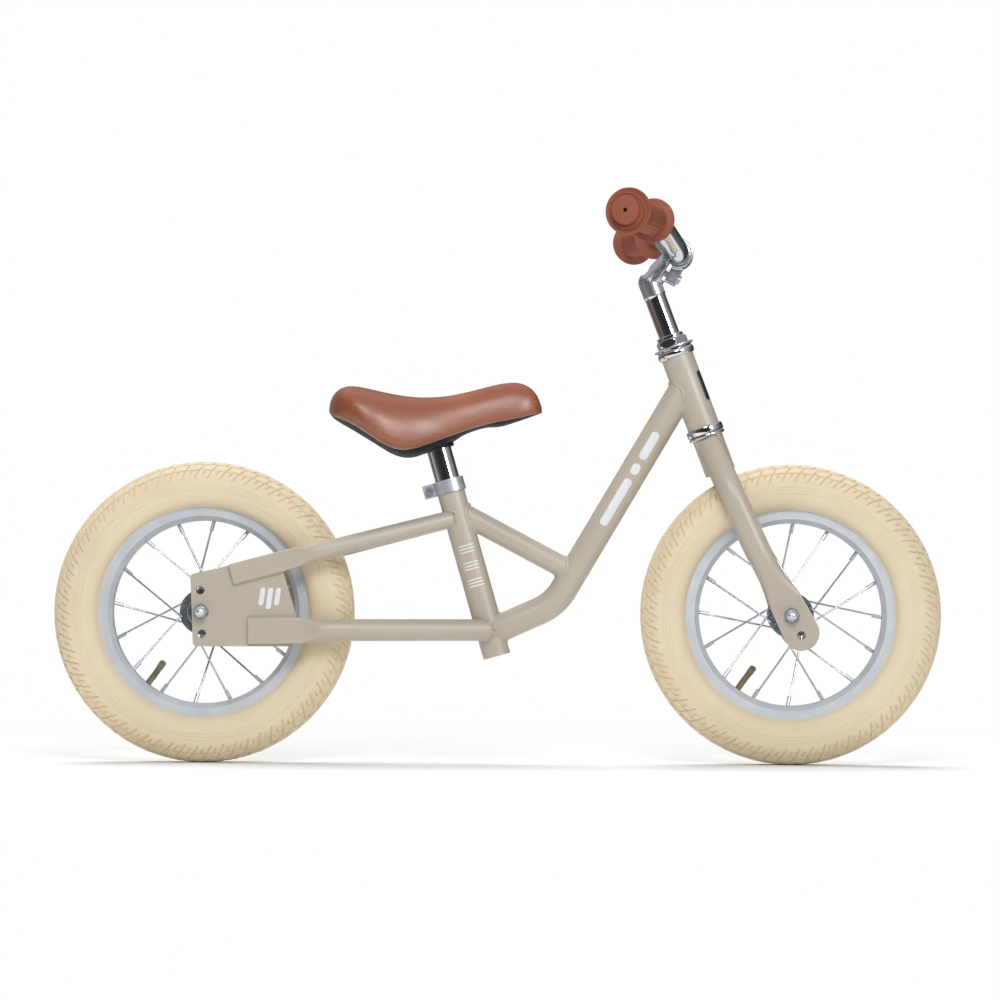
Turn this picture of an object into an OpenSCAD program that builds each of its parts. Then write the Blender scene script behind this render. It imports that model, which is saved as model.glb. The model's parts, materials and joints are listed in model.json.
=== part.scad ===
// Child's balance bike: steel tube frame, spoked wheels, quill stem, chrome bar, padded saddle.
// Frame: +X forward, +Y to the rider's left, +Z up, millimetres.
// Origin: the point where the rear tyre stands on the ground, on the bike's middle plane.

/* [Wheels] */
// Distance between the two axles
wheelbase = 605.6; // [597:0.2:615]
// Outer radius of both tyres
tyre_r = 155; // [153:0.5:156]
// Radius of the tyre's round section
tyre_section_r = 28; // [27:0.25:28.5]
// Outer radius of the rim flange
rim_flange_r = 108; // [107.5:0.1:108.5]
// Inner radius of the rim
rim_inner_r = 94.3; // [93:0.1:95]
// Half the rim's width over its flanges
rim_half_w = 13.5; // [13.2:0.1:14]
// Number of spokes in a wheel
spoke_count = 16; // [16:4:20]
// Radius of a spoke
spoke_r = 1; // [0.9:0.05:1.1]
// Radius of the hub flanges
hub_flange_r = 23.5; // [22.5:0.5:25]
// Turn of the front wheel's first spoke from the forward direction
front_spoke_turn = -1.4; // [-11:0.1:11]
// Turn of the rear wheel's first spoke from the forward direction
rear_spoke_turn = -5.5; // [-11:0.1:11]

/* [Steering] */
// Lean of the steering axis from the vertical
head_lean = 20.65; // [20:0.05:21.5]
// Turn of the handlebar and front wheel in the drawn position, to the right
steer_rest = 3.63; // [0:0.01:8]
// Distance of the front axle ahead of the steering axis
fork_rake = 16; // [14:0.5:18]
// Outer diameter of the head tube
head_tube_d = 33.5; // [33:0.1:34.5]
// Length of the head tube
head_tube_l = 78.2; // [76:0.2:80]
// Outer diameter of the stem's quill
quill_d = 22.2; // [22:0.1:22.2]
// Outer diameter of the handlebar
bar_d = 22.2; // [21.8:0.1:22.4]
// Distance from the middle plane to the grips' inner flanges
grip_start_y = 100.1; // [97:0.5:106]
// Length of a grip over its two flanges
grip_l = 86; // [80:0.5:90]

/* [Frame] */
// Outer diameter of the down tube
down_tube_d = 28.6; // [28:0.1:29]
// Outer diameter of the seat tube
seat_tube_d = 28.6; // [28.4:0.1:29]
// Outer diameter of the brace tube
brace_d = 22.2; // [20:0.1:23]
// Outer diameter of the upper stays
upper_stay_d = 17.5; // [16:0.1:18]
// Outer diameter of the lower stays
lower_stay_d = 22.2; // [21:0.1:22.6]
// Lean of the seat tube from the vertical
seat_lean = 15.95; // [15.5:0.05:16.5]
// Length of the seat tube
seat_tube_l = 189; // [187:0.5:191]
// Thickness of the rear axle plates
plate_t = 3.5; // [3:0.1:3.8]
// Spacing of the three axle heights
axle_step = 22.4; // [21:0.1:23]
// Radius of the axle holes
axle_hole_r = 4.5; // [4.4:0.05:4.6]

/* [Saddle] */
// Outer diameter of the seat post
post_d = 25.4; // [25.3:0.1:25.4]
// Length of the seat post
post_l = 186; // [180:1:190]
// Width of the saddle at the rear
saddle_w = 126; // [118:1:140]

/* [Hidden] */
$fn = 64;

// Small amount by which a cutting shape passes the face it cuts
eps = 1;
// Running gap left round shafts that turn or slide
run_gap = 0.05;
// Gap left between pieces of one body that lie inside each other
seat_gap = 0.03;

// Colours
paint = [0.73, 0.69, 0.63];
chrome = [0.82, 0.83, 0.85];
steel = [0.62, 0.63, 0.65];
cream = [0.90, 0.84, 0.68];
grip_rubber = [0.58, 0.28, 0.20];
tan_leather = [0.52, 0.25, 0.15];
black = [0.07, 0.07, 0.08];

// Steering axis: bottom centre of the head tube, behind the front axle
head_foot = [wheelbase - 90.14, 0, 348.7];
// Front axle below the head tube's foot, along the steering axis
axle_drop = 213;

// Seat tube: bottom centre
seat_foot = [302.3, 0, 110.8];

// Faces of the axle plates and fork ends, from the middle plane
hub_half_l = 42.5;
plate_out_y = hub_half_l + plate_t;
fork_end_t = 5;
fork_out_y = hub_half_l + fork_end_t;
nut_end_y = 60.2;

// ---------------------------------------------------------------- helpers

function unit(v) = v / norm(v);
function turn_at(p, i) = acos(min(1, unit(p[i] - p[i - 1]) * unit(p[i + 1] - p[i])));
function reach(p, i, rb) = rb * tan(turn_at(p, i) / 2);

// A straight round rod, tapering if its two radii differ
module rod(a, b, r, r2) {
  d = b - a;
  translate(a)
    rotate([0, acos(d[2] / norm(d)), atan2(d[1], d[0])])
      cylinder(r1 = r, r2 = is_undef(r2) ? r : r2, h = norm(d));
}

// One round bend of a rod, from the run a-b to the run b-c
module bend(a, b, c, r, rb) {
  u = unit(b - a);
  w = unit(c - b);
  t = acos(u * w);
  n = unit(cross(u, w));
  m = cross(n, u);
  o = b - u * rb * tan(t / 2) + m * rb;
  multmatrix([
    [-m[0], u[0], n[0], o[0]],
    [-m[1], u[1], n[1], o[1]],
    [-m[2], u[2], n[2], o[2]],
    [0, 0, 0, 1]
  ])
    rotate_extrude(angle = t)
      translate([rb, 0])
        circle(r = r);
}

// A round rod that follows the points p with bends of radius rb. The bends are a hair
// thicker than the straight runs, which reach a little way into them.
bend_extra = 0.05;
bend_overlap = 0.5;

module bent_rod(p, r, rb) {
  last = len(p) - 1;
  for (i = [0 : last - 1]) {
    d = unit(p[i + 1] - p[i]);
    trim_a = i == 0 ? 0 : reach(p, i, rb) - bend_overlap;
    trim_b = i + 1 == last ? 0 : reach(p, i + 1, rb) - bend_overlap;
    rod(p[i] + d * trim_a, p[i + 1] - d * trim_b, r);
  }
  if (last > 1)
    for (i = [1 : last - 1])
      bend(p[i - 1], p[i], p[i + 1], r + bend_extra, rb);
}

// The same path with both ends drawn out by e
function drawn_out(p, e) = [
  for (i = [0 : len(p) - 1])
    i == 0 ? p[0] - unit(p[1] - p[0]) * e
    : i == len(p) - 1 ? p[i] + unit(p[i] - p[i - 1]) * e
    : p[i]
];

module bent_tube(p, r, wall, rb) {
  difference() {
    bent_rod(p, r, rb);
    bent_rod(drawn_out(p, eps), r - wall, rb);
  }
}

// A ring about Z between two heights
module ring(r_out, r_in, z0, z1) {
  translate([0, 0, z0])
    difference() {
      cylinder(r = r_out, h = z1 - z0);
      translate([0, 0, -eps])
        cylinder(r = r_in, h = z1 - z0 + 2 * eps);
    }
}

// Things drawn about Z put on the Y axis, z becoming the distance to the given side
module on_side(side) {
  rotate([-90 * side, 0, 0])
    children();
}

module at_head() {
  translate(head_foot)
    rotate([0, -head_lean, 0])
      children();
}

module steered() {
  at_head()
    rotate([0, 0, -steer_rest])
      children();
}

module at_front_axle() {
  steered()
    translate([fork_rake, 0, -axle_drop])
      rotate([0, head_lean, 0])
        children();
}

module at_rear_axle() {
  translate([0, 0, tyre_r])
    children();
}

module at_seat() {
  translate(seat_foot)
    rotate([0, -seat_lean, 0])
      children();
}

// ---------------------------------------------------------------- frame tubes

tube_wall = 1.8;
head_r = head_tube_d / 2;
cup_seat_r = head_r - tube_wall;

module head_tube_body(r) {
  at_head()
    cylinder(r = r, h = head_tube_l);
}

module head_tube() {
  color(paint)
    difference() {
      head_tube_body(head_r);
      at_head()
        translate([0, 0, -eps])
          cylinder(r = cup_seat_r, h = head_tube_l + 2 * eps);
    }
}

module seat_tube_body(r) {
  at_seat()
    cylinder(r = r, h = seat_tube_l);
}

seat_bore_r = post_d / 2 + run_gap;
slot_w = 2.4;
slot_l = 26;

module seat_tube() {
  color(paint)
    difference() {
      seat_tube_body(seat_tube_d / 2);
      at_seat()
        translate([0, 0, -eps])
          cylinder(r = seat_bore_r, h = seat_tube_l + 2 * eps);
      at_seat()
        translate([-seat_tube_d, -slot_w / 2, seat_tube_l - slot_l])
          cube([seat_tube_d, slot_w, slot_l + eps]);
    }
}

// The down tube runs from the head tube to a low bend and back to the seat tube
down_top = head_foot + [-22.46, 0, 38.4];
down_bend = [362, 0, 164.8];
down_end = [300.5, 0, 137.4];
down_bend_r = 56;

module down_tube() {
  color(paint)
    difference() {
      bent_tube([down_end, down_bend, down_top], down_tube_d / 2, tube_wall, down_bend_r);
      head_tube_body(head_r);
      seat_tube_body(seat_tube_d / 2);
      for (side = [-1, 1])
        rod(lower_stay_path(side)[1], lower_stay_path(side)[2], lower_stay_d / 2);
    }
}

brace_top = [262, 0, 260.2];
brace_low = [378.5, 0, 198.5];

module brace_tube() {
  color(paint)
    difference() {
      bent_tube([brace_top, brace_low], brace_d / 2, tube_wall, 1);
      seat_tube_body(seat_tube_d / 2);
      bent_rod([down_end, down_bend, down_top], down_tube_d / 2, down_bend_r);
    }
}

stay_wall = 1.5;
stay_bend_r = 120;
tongue_t = 5;
tongue_y = plate_out_y + tongue_t / 2;
// Hair's breadth by which the tapers stay inside the pieces they join
lap = 0.15;

// Upper stays: from the axle plate forward to the seat tube
function upper_stay_path(side) = [
  [118, side * 48.4, 216.8],
  [150, side * 43, 225.1],
  [254, side * 9.2, 252.2]
];
upper_tongue_a = [30.6, 0, 193.4];
upper_tongue_b = [92, 0, 209.9];
upper_tongue_w = 20.6;

// Lower stays: nearly level, closing on the sides of the seat tube
function lower_stay_path(side) = [
  [118, side * 47.2, 136.9],
  [152, side * 43.8, 137],
  [296.5, side * 13.2, 137.7]
];
lower_tongue_a = [48.2, 0, 135.8];
lower_tongue_b = [99, 0, 136.5];
lower_tongue_w = 26.6;

// The flattened end of a stay: a flat tongue and, up to the round tube at start, a cone
// pressed flat between two planes
module stay_end(a, b, w, side, start, r) {
  lean = atan2(b[2] - a[2], b[0] - a[0]);
  l = norm(b - a);
  d = start - a;
  s = [
    d[0] * cos(lean) + d[2] * sin(lean),
    start[1] - side * tongue_y,
    d[2] * cos(lean) - d[0] * sin(lean)
  ];
  flat = tongue_t / 2 - lap;
  translate([a[0], side * tongue_y, a[2]])
    rotate([0, -lean, 0]) {
      translate([0, -tongue_t / 2, -w / 2])
        cube([l, tongue_t, w]);
      intersection() {
        rod([l - 1, 0, 0], s, w / 2 - lap, r - 1.2);
        translate([0, 0, -w])
          linear_extrude(height = 2 * w)
            polygon([
              [l - 2, -flat], [l - 2, flat], [s[0] + 1, s[1] + r + lap], [s[0] + 1, s[1] - r - lap]
            ]);
      }
    }
}

module upper_stay(side) {
  p = upper_stay_path(side);
  color(paint)
    difference() {
      union() {
        bent_tube([p[0] - unit(p[1] - p[0]), p[1], p[2]], upper_stay_d / 2, stay_wall, stay_bend_r);
        stay_end(upper_tongue_a, upper_tongue_b, upper_tongue_w, side, p[0], upper_stay_d / 2);
      }
      seat_tube_body(seat_tube_d / 2);
    }
}

module lower_stay(side) {
  p = lower_stay_path(side);
  color(paint)
    difference() {
      union() {
        bent_tube([p[0] - unit(p[1] - p[0]), p[1], p[2]], lower_stay_d / 2, stay_wall, stay_bend_r);
        stay_end(lower_tongue_a, lower_tongue_b, lower_tongue_w, side, p[0], lower_stay_d / 2);
      }
      seat_tube_body(seat_tube_d / 2);
    }
}

module upper_stay_left() { upper_stay(1); }
module upper_stay_right() { upper_stay(-1); }
module lower_stay_left() { lower_stay(1); }
module lower_stay_right() { lower_stay(-1); }

// The rear axle plate, seen from the side
axle_line_lean = 2.5;
plate_corners = [
  [-9.2, 193.6], [-10.6, 192.2], [-11, 190], [-8.1, 122.6], [-7, 120.7], [-5, 119.9],
  [90, 120.2], [92.6, 122.6], [97.6, 150.8], [90, 175], [83, 199], [60, 203], [36, 203.4], [27, 202.2]
];

module dropout(side) {
  color(paint)
    difference() {
      translate([0, side > 0 ? plate_out_y : -hub_half_l, 0])
        rotate([90, 0, 0])
          linear_extrude(height = plate_t)
            polygon(plate_corners);
      for (k = [-1 : 1])
        translate([-k * axle_step * sin(axle_line_lean), 0, tyre_r + k * axle_step * cos(axle_line_lean)])
          rotate([90, 0, 0])
            cylinder(r = axle_hole_r, h = 3 * plate_out_y, center = true);
    }
}

module dropout_left() { dropout(1); }
module dropout_right() { dropout(-1); }

// ---------------------------------------------------------------- headset and head badge

ball_r = 2.38;
headset_ball_ring = 15.9;
headset_balls_each = 18;
cup_r = 19.4;
cup_h = 7.4;
cup_skirt = 9;
cup_bore_r = cup_seat_r - 1.6;
lower_ball_h = -5.6;
upper_ball_h = head_tube_l + 5.4;
steerer_r = 12.7;

module headset_cup(end_h, up) {
  translate([0, 0, end_h])
    rotate([up ? 0 : 180, 0, 0])
      difference() {
        union() {
          ring(cup_seat_r - seat_gap, cup_bore_r, -cup_skirt, 0.01);
          ring(cup_r, cup_bore_r, 0, cup_h);
        }
        translate([0, 0, up ? 2.9 : 3.1])
          cylinder(r = headset_ball_ring + ball_r + seat_gap, h = 6);
      }
}

module headset_cup_lower() {
  color(chrome)
    at_head()
      headset_cup(0, false);
}

module headset_cup_upper() {
  color(chrome)
    at_head()
      headset_cup(head_tube_l, true);
}

module headset_balls() {
  color(steel)
    at_head()
      for (h = [lower_ball_h, upper_ball_h])
        for (i = [0 : headset_balls_each - 1])
          rotate([0, 0, i * 360 / headset_balls_each])
            translate([headset_ball_ring, 0, h])
              sphere(r = ball_r, $fn = 24);
}

badge_w = 8.4;
badge_l = 32;
badge_t = 1.2;
badge_h = 41;
badge_turn = 47;

module head_badge() {
  color(black)
    at_head()
      for (side = [-1, 1])
        rotate([0, 0, side * badge_turn])
          intersection() {
            translate([0, 0, badge_h - badge_l / 2])
              ring(head_r + badge_t, head_r, 0, badge_l);
            translate([0, -badge_w / 2, badge_h - badge_l / 2])
              cube([2 * head_r, badge_w, badge_l]);
          }
}

// ---------------------------------------------------------------- seat clamp

clamp_h = 13.6;
clamp_t = 2;
clamp_ear_l = 13.2;
clamp_ear_gap = 4;
clamp_ear_t = 3.2;
clamp_bolt_x = -21;
clamp_bolt_r = 2.5;

module seat_clamp() {
  color(steel)
    at_seat()
      translate([0, 0, seat_tube_l - clamp_h + 0.4])
        difference() {
          union() {
            cylinder(r = seat_tube_d / 2 + clamp_t, h = clamp_h);
            translate([-seat_tube_d / 2 - clamp_ear_l, -clamp_ear_gap / 2 - clamp_ear_t, 0])
              cube([clamp_ear_l, clamp_ear_gap + 2 * clamp_ear_t, clamp_h]);
          }
          translate([0, 0, -eps])
            cylinder(r = seat_tube_d / 2 + seat_gap, h = clamp_h + 2 * eps);
          translate([-2 * seat_tube_d, -clamp_ear_gap / 2, -eps])
            cube([2 * seat_tube_d, clamp_ear_gap, clamp_h + 2 * eps]);
          translate([clamp_bolt_x, 0, clamp_h / 2])
            rotate([90, 0, 0])
              cylinder(r = clamp_bolt_r + seat_gap, h = 40, center = true);
        }
}

module seat_clamp_bolt() {
  ear = clamp_ear_gap / 2 + clamp_ear_t;
  color(chrome)
    at_seat()
      translate([clamp_bolt_x, 0, seat_tube_l - clamp_h / 2 + 0.4])
        difference() {
          union() {
            rotate([90, 0, 0])
              cylinder(r = clamp_bolt_r, h = 2 * ear + 1, center = true);
            on_side(-1)
              translate([0, 0, ear + 0.01])
                cylinder(r = 4.4, h = 3);
            on_side(1)
              translate([0, 0, ear + 0.01])
                cylinder(r = 4.7, h = 3.4, $fn = 6);
          }
          on_side(-1)
            translate([0, 0, ear + 1])
              cylinder(r = 2.3, h = 4, $fn = 6);
        }
}

// ---------------------------------------------------------------- axles

axle_r = 3.95;
axle_half_l = 53;
// Cones, as distances from the middle plane: track beside the balls, then a shoulder, then the locknut against the plate
cone_r = 6.4;
cone_shoulder_r = 8.6;
cone_y = 27.5;
shoulder_y = 33.8;
locknut_y = 37.8;
hub_ball_y = 31;

module axle() {
  color(steel)
    rotate([90, 0, 0])
      cylinder(r = axle_r, h = 2 * axle_half_l, center = true);
}

module cones() {
  color(steel)
    for (side = [-1, 1])
      on_side(side) {
        ring(cone_r, axle_r + seat_gap, cone_y, shoulder_y);
        ring(cone_shoulder_r, axle_r + seat_gap, shoulder_y, locknut_y);
      }
}

module locknuts() {
  color(steel)
    for (side = [-1, 1])
      on_side(side)
        difference() {
          translate([0, 0, locknut_y])
            cylinder(r = 8.4, h = hub_half_l - locknut_y, $fn = 6);
          cylinder(r = axle_r + seat_gap, h = axle_half_l);
        }
}

// Domed nuts with a round flange, one on each end of an axle
module axle_nuts(face_y) {
  dome_r = 5.7;
  flange_r = 8.2;
  flange_t = 1.8;
  hex_r = 7.4;
  color(chrome)
    for (side = [-1, 1])
      on_side(side)
        difference() {
          union() {
            translate([0, 0, face_y])
              cylinder(r = flange_r, h = flange_t);
            translate([0, 0, face_y])
              cylinder(r = hex_r, h = nut_end_y - dome_r - face_y, $fn = 6);
            translate([0, 0, nut_end_y - dome_r])
              sphere(r = dome_r);
          }
          cylinder(r = axle_r + seat_gap, h = axle_half_l + 0.5);
        }
}

module rear_axle() { at_rear_axle() axle(); }
module rear_cones() { at_rear_axle() cones(); }
module rear_locknuts() { at_rear_axle() locknuts(); }
module rear_axle_nuts() { at_rear_axle() axle_nuts(plate_out_y); }
module front_axle() { at_front_axle() axle(); }
module front_cones() { at_front_axle() cones(); }
module front_locknuts() { at_front_axle() locknuts(); }
module front_axle_nuts() { at_front_axle() axle_nuts(fork_out_y); }

// ---------------------------------------------------------------- fork

steerer_bore_r = quill_d / 2 + run_gap;
steerer_low = -50;
steerer_top = 96;
crown_r = 15.9;
crown_top = -11;

module steerer() {
  color(paint)
    steered()
      difference() {
        union() {
          translate([0, 0, steerer_low])
            cylinder(r = steerer_r, h = steerer_top - steerer_low);
          translate([0, 0, steerer_low])
            cylinder(r = crown_r, h = crown_top - steerer_low);
        }
        translate([0, 0, steerer_low - eps])
          cylinder(r = steerer_bore_r, h = steerer_top - steerer_low + 2 * eps);
      }
}

blade_r = 12.7;
blade_low_r = 11.3;
blade_y = 44.2;
tip_r = 18.6;
tip_at = [19.2, 0, -232.4];
crease_h = -197;
crease_half_w = 17;
crease_x = 15.3;
spare_hole = [fork_rake + 2.3, 0, -axle_drop - 22.3];

function blade_path(side) = [
  [-0.4, side * 10.5, -20],
  [2.6, side * 44.2, -70],
  [7.4, side * blade_y, -138]
];

module fork_end_outline() {
  translate([tip_at[0], tip_at[2]])
    circle(r = tip_r);
  polygon([
    [crease_x - crease_half_w, crease_h], [crease_x + crease_half_w, crease_h],
    [tip_at[0] + tip_r - 0.05, tip_at[2] + 1.8], [tip_at[0], tip_at[2]],
    [tip_at[0] - tip_r + 0.05, tip_at[2] - 1.8]
  ]);
}

module fork_blade(side) {
  p = blade_path(side);
  taper_end = [10, side * blade_y, -160];
  flat_start = taper_end + [-0.2, 0, 1.5];
  end_mid_y = side * (hub_half_l + fork_end_t / 2);
  color(paint)
    steered()
      difference() {
        union() {
          bent_rod(p, blade_r, 60);
          rod(p[2] - unit(taper_end - p[2]), taper_end, blade_r - 0.4, blade_low_r);
          // the tube's flattened lower part: a widening cone between two planes
          intersection() {
            rod(flat_start, [crease_x, end_mid_y, crease_h - 0.5], blade_low_r - 0.6, crease_half_w - lap);
            translate([-100, 0, 0])
              rotate([90, 0, 90])
                linear_extrude(height = 200)
                  polygon([
                    [flat_start[1] - blade_low_r - 2 * lap, flat_start[2] + 1],
                    [flat_start[1] + blade_low_r + 2 * lap, flat_start[2] + 1],
                    [end_mid_y + fork_end_t / 2 - lap, crease_h - 1],
                    [end_mid_y - fork_end_t / 2 + lap, crease_h - 1]
                  ]);
          }
          translate([0, end_mid_y + fork_end_t / 2, 0])
            rotate([90, 0, 0])
              linear_extrude(height = fork_end_t)
                fork_end_outline();
        }
        translate([0, 0, steerer_low - 40])
          cylinder(r = crown_r, h = crown_top - steerer_low + 40);
        translate([fork_rake, 0, -axle_drop])
          rotate([90, 0, 0])
            cylinder(r = axle_hole_r, h = 200, center = true);
        translate(spare_hole)
          rotate([90, 0, 0])
            cylinder(r = axle_hole_r, h = 200, center = true);
      }
}

module fork_blade_left() { fork_blade(1); }
module fork_blade_right() { fork_blade(-1); }

// The races' tracks stand inside the ball rings
race_track_r = headset_ball_ring - ball_r - 0.3;
race_track_l = 4;
crown_race_h = -8;
adjusting_race_h = head_tube_l + 8;
washer_r = 21;
washer_h = head_tube_l + 9.5;
washer_t = 1.8;
lock_nut_h = washer_h + washer_t + 0.1;
lock_nut_hex_r = 17;
lock_nut_hex_l = 8.2;
lock_nut_collar_r = 14;
lock_nut_l = 12;

module crown_race() {
  color(chrome)
    steered() {
      ring(cup_r - 0.3, steerer_r + seat_gap, crown_top + 0.01, crown_race_h);
      ring(race_track_r, steerer_r + seat_gap, crown_race_h - 0.01, crown_race_h + race_track_l);
    }
}

module adjusting_race() {
  color(chrome)
    steered() {
      ring(cup_r - 0.6, steerer_r + seat_gap, adjusting_race_h, adjusting_race_h + 1.3);
      ring(race_track_r, steerer_r + seat_gap, adjusting_race_h - race_track_l, adjusting_race_h + 0.01);
    }
}

module keyed_washer() {
  color(chrome)
    steered()
      ring(washer_r, steerer_r + seat_gap, washer_h, washer_h + washer_t);
}

module lock_nut() {
  color(chrome)
    steered()
      difference() {
        union() {
          translate([0, 0, lock_nut_h])
            cylinder(r = lock_nut_hex_r, h = lock_nut_hex_l, $fn = 6);
          translate([0, 0, lock_nut_h])
            cylinder(r = lock_nut_collar_r, h = lock_nut_l);
        }
        translate([0, 0, lock_nut_h - eps])
          cylinder(r = steerer_r + seat_gap, h = steerer_top - lock_nut_h + 1.2);
        cylinder(r = steerer_bore_r + 0.15, h = 2 * steerer_top);
      }
}

// ---------------------------------------------------------------- stem and handlebar

bar_x = 38;
bar_h = 177.3;
quill_low = 24;
quill_step = 145;
elbow_h = 160.5;
clamp_half_w = 19;
clamp_out_r = 15.4;
bar_r = bar_d / 2;
ear_turn = 27;
ear_reach = 31;
ear_bolt_drop = 23.5;
clamp_slot_w = 4.4;
clamp_bolt_thread_r = 3;
elbow_r = quill_d / 2 + 0.7;
quill_bore_r = 8.6;
quill_bore_top = 142;
stem_bolt_r = 3;
stem_bolt_head_r = 5.6;
wedge_low = 4;

// The split clamp is drawn about the bar's axis, ears hanging down
module at_bar() {
  translate([bar_x, 0, bar_h])
    children();
}

module stem() {
  color(chrome)
    steered()
      difference() {
        union() {
          translate([0, 0, quill_low])
            cylinder(r = quill_d / 2, h = elbow_h - quill_low);
          translate([0, 0, quill_step])
            cylinder(r = elbow_r, h = elbow_h - quill_step);
          translate([0, 0, elbow_h])
            sphere(r = elbow_r);
          rod([0, 0, elbow_h], [bar_x - 4, 0, bar_h + 1], elbow_r - 0.1, 9.8);
          at_bar()
            rotate([90, 0, 0])
              cylinder(r = clamp_out_r, h = 2 * clamp_half_w, center = true);
          at_bar()
            rotate([0, ear_turn + head_lean, 0])
              translate([-10, -10, -ear_reach])
                cube([21.5, 20, ear_reach - bar_r]);
        }
        at_bar()
          rotate([90, 0, 0])
            cylinder(r = bar_r + run_gap, h = 3 * clamp_half_w, center = true);
        at_bar()
          rotate([0, ear_turn + head_lean, 0])
            translate([-clamp_slot_w, -2 * clamp_half_w, -ear_reach - 0.5])
              cube([clamp_slot_w, 4 * clamp_half_w, ear_reach + 0.5]);
        at_bar()
          rotate([0, ear_turn + head_lean, 0])
            translate([-10, 0, -ear_bolt_drop])
              rotate([0, 90, 0])
                cylinder(r = clamp_bolt_thread_r + seat_gap, h = 24);
        translate([0, 0, quill_low - eps])
          cylinder(r = quill_bore_r, h = quill_bore_top - quill_low);
        translate([0, 0, quill_bore_top - 8])
          cylinder(r = stem_bolt_r + 1.2, h = 40);
        translate([0, 0, elbow_h - 2.5])
          cylinder(r = stem_bolt_head_r + 0.6, h = 30);
      }
}

module stem_wedge() {
  color(steel)
    steered()
      difference() {
        translate([0, 0, wedge_low])
          cylinder(r = quill_d / 2 - 0.2, h = quill_low - 0.2 - wedge_low);
        cylinder(r = stem_bolt_r + seat_gap, h = 3 * quill_low, center = true);
      }
}

module stem_bolt() {
  color(chrome)
    steered()
      difference() {
        union() {
          translate([0, 0, wedge_low])
            cylinder(r = stem_bolt_r, h = elbow_h - wedge_low);
          translate([0, 0, elbow_h - 2.4])
            cylinder(r = stem_bolt_head_r, h = 8);
        }
        translate([0, 0, elbow_h + 1])
          cylinder(r = 3.2, h = 10, $fn = 6);
      }
}

module bar_clamp_bolt() {
  color(steel)
    steered()
      at_bar()
        rotate([0, ear_turn + head_lean, 0])
          translate([0, 0, -ear_bolt_drop])
            rotate([0, 90, 0]) {
              translate([0, 0, -9.5])
                cylinder(r = clamp_bolt_thread_r, h = 21.2);
              translate([0, 0, 11.6])
                cylinder(r = 4.8, h = 2.6);
            }
}

grip_dir = [-0.258, 1, 0.1185];
grip_at = [23.3, grip_start_y, 210.5];
bar_end_past = grip_l + 6;

function on_grip(side, d) =
  let (u = unit(grip_dir), p = grip_at + u * d) [p[0], side * p[1], p[2]];

function bar_half(side) = [
  [bar_x, 0, bar_h],
  [bar_x, side * 36, bar_h],
  on_grip(side, -24),
  on_grip(side, bar_end_past)
];

module handlebar() {
  bar_wall = 1.8;
  left = bar_half(1);
  right = bar_half(-1);
  path = [right[3], right[2], right[1], left[1], left[2], left[3]];
  color(chrome)
    steered()
      bent_tube(path, bar_r, bar_wall, 40);
}

// Grip: inner flange, body, outer flange and two end steps with a small hole
grip_body_r = 15.4;
grip_inner_flange_r = 22.6;
grip_inner_flange_half_t = 1.8;
grip_outer_flange_r = 23.5;
grip_outer_flange_half_t = 2;
grip_end_steps = [[18, 6], [14.2, 12]];
grip_end_hole_r = 2.2;

module grip(side) {
  a = on_grip(side, 0);
  u = on_grip(side, 1) - a;
  inner_t = grip_inner_flange_half_t;
  outer_t = grip_outer_flange_half_t;
  color(grip_rubber)
    steered()
      difference() {
        union() {
          rod(a - inner_t * u, a + inner_t * u, grip_inner_flange_r);
          rod(a, a + grip_l * u, grip_body_r);
          rod(a + (grip_l - outer_t) * u, a + (grip_l + outer_t) * u, grip_outer_flange_r);
          for (step = grip_end_steps)
            rod(a + grip_l * u, a + (grip_l + step[1]) * u, step[0]);
        }
        rod(a - 4 * u, a + (bar_end_past + 0.3) * u, bar_r + seat_gap);
        rod(a + grip_l * u, a + (grip_l + 20) * u, grip_end_hole_r);
      }
}

module grip_left() { grip(1); }
module grip_right() { grip(-1); }

// ---------------------------------------------------------------- saddle

post_foot = 43;
rivet_t = 209.5;
rivet_r = 1.4;
socket_r = 17;
socket_top = 232;

module seat_post() {
  color(chrome)
    at_seat()
      difference() {
        ring(post_d / 2, post_d / 2 - 1.8, post_foot, post_foot + post_l);
        translate([0, 0, rivet_t])
          rotate([90, 0, 0])
            cylinder(r = rivet_r + seat_gap, h = 2 * post_d, center = true);
      }
}

// Half outline of the saddle seen from above: rear, wide part, neck, nose
function saddle_half(inset) = [
  [127.3 + inset, 0], [129 + inset, 27], [134 + inset, 45 - inset], [145, 57 - inset],
  [160, saddle_w / 2 - inset], [180, saddle_w / 2 - 1 - inset], [202, 54 - inset],
  [225, 42 - inset], [250, 33 - inset], [280, 28 - inset], [310, 25.5 - inset],
  [330, 23.5 - inset], [341 - inset, 18 - inset], [347.6 - inset, 0]
];

module saddle_column(inset) {
  h = saddle_half(inset);
  n = len(h);
  translate([0, 0, 300])
    linear_extrude(height = 110)
      polygon(concat(h, [for (i = [n - 2 : -1 : 1]) [h[i][0], -h[i][1]]]));
}

// The pad's crown: its rim lies lower than its middle part
crown_inset = 12;
crown_drop = 6;

// Line between the cover's lower edge and the plastic base
cover_edge = [
  [347.6, 363.7], [320, 357.6], [291, 352.5], [261, 344], [235, 331.6], [213.5, 323.4],
  [202, 327], [186, 334.6], [166, 346.6], [145, 353.4], [127.3, 357]
];

module saddle_slab(outline) {
  translate([0, 100, 0])
    rotate([90, 0, 0])
      linear_extrude(height = 200)
        polygon(outline);
}

module socket(gap) {
  at_seat()
    translate([0, 0, seat_tube_l])
      cylinder(r = socket_r + gap, h = socket_top - seat_tube_l + gap);
}

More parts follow.
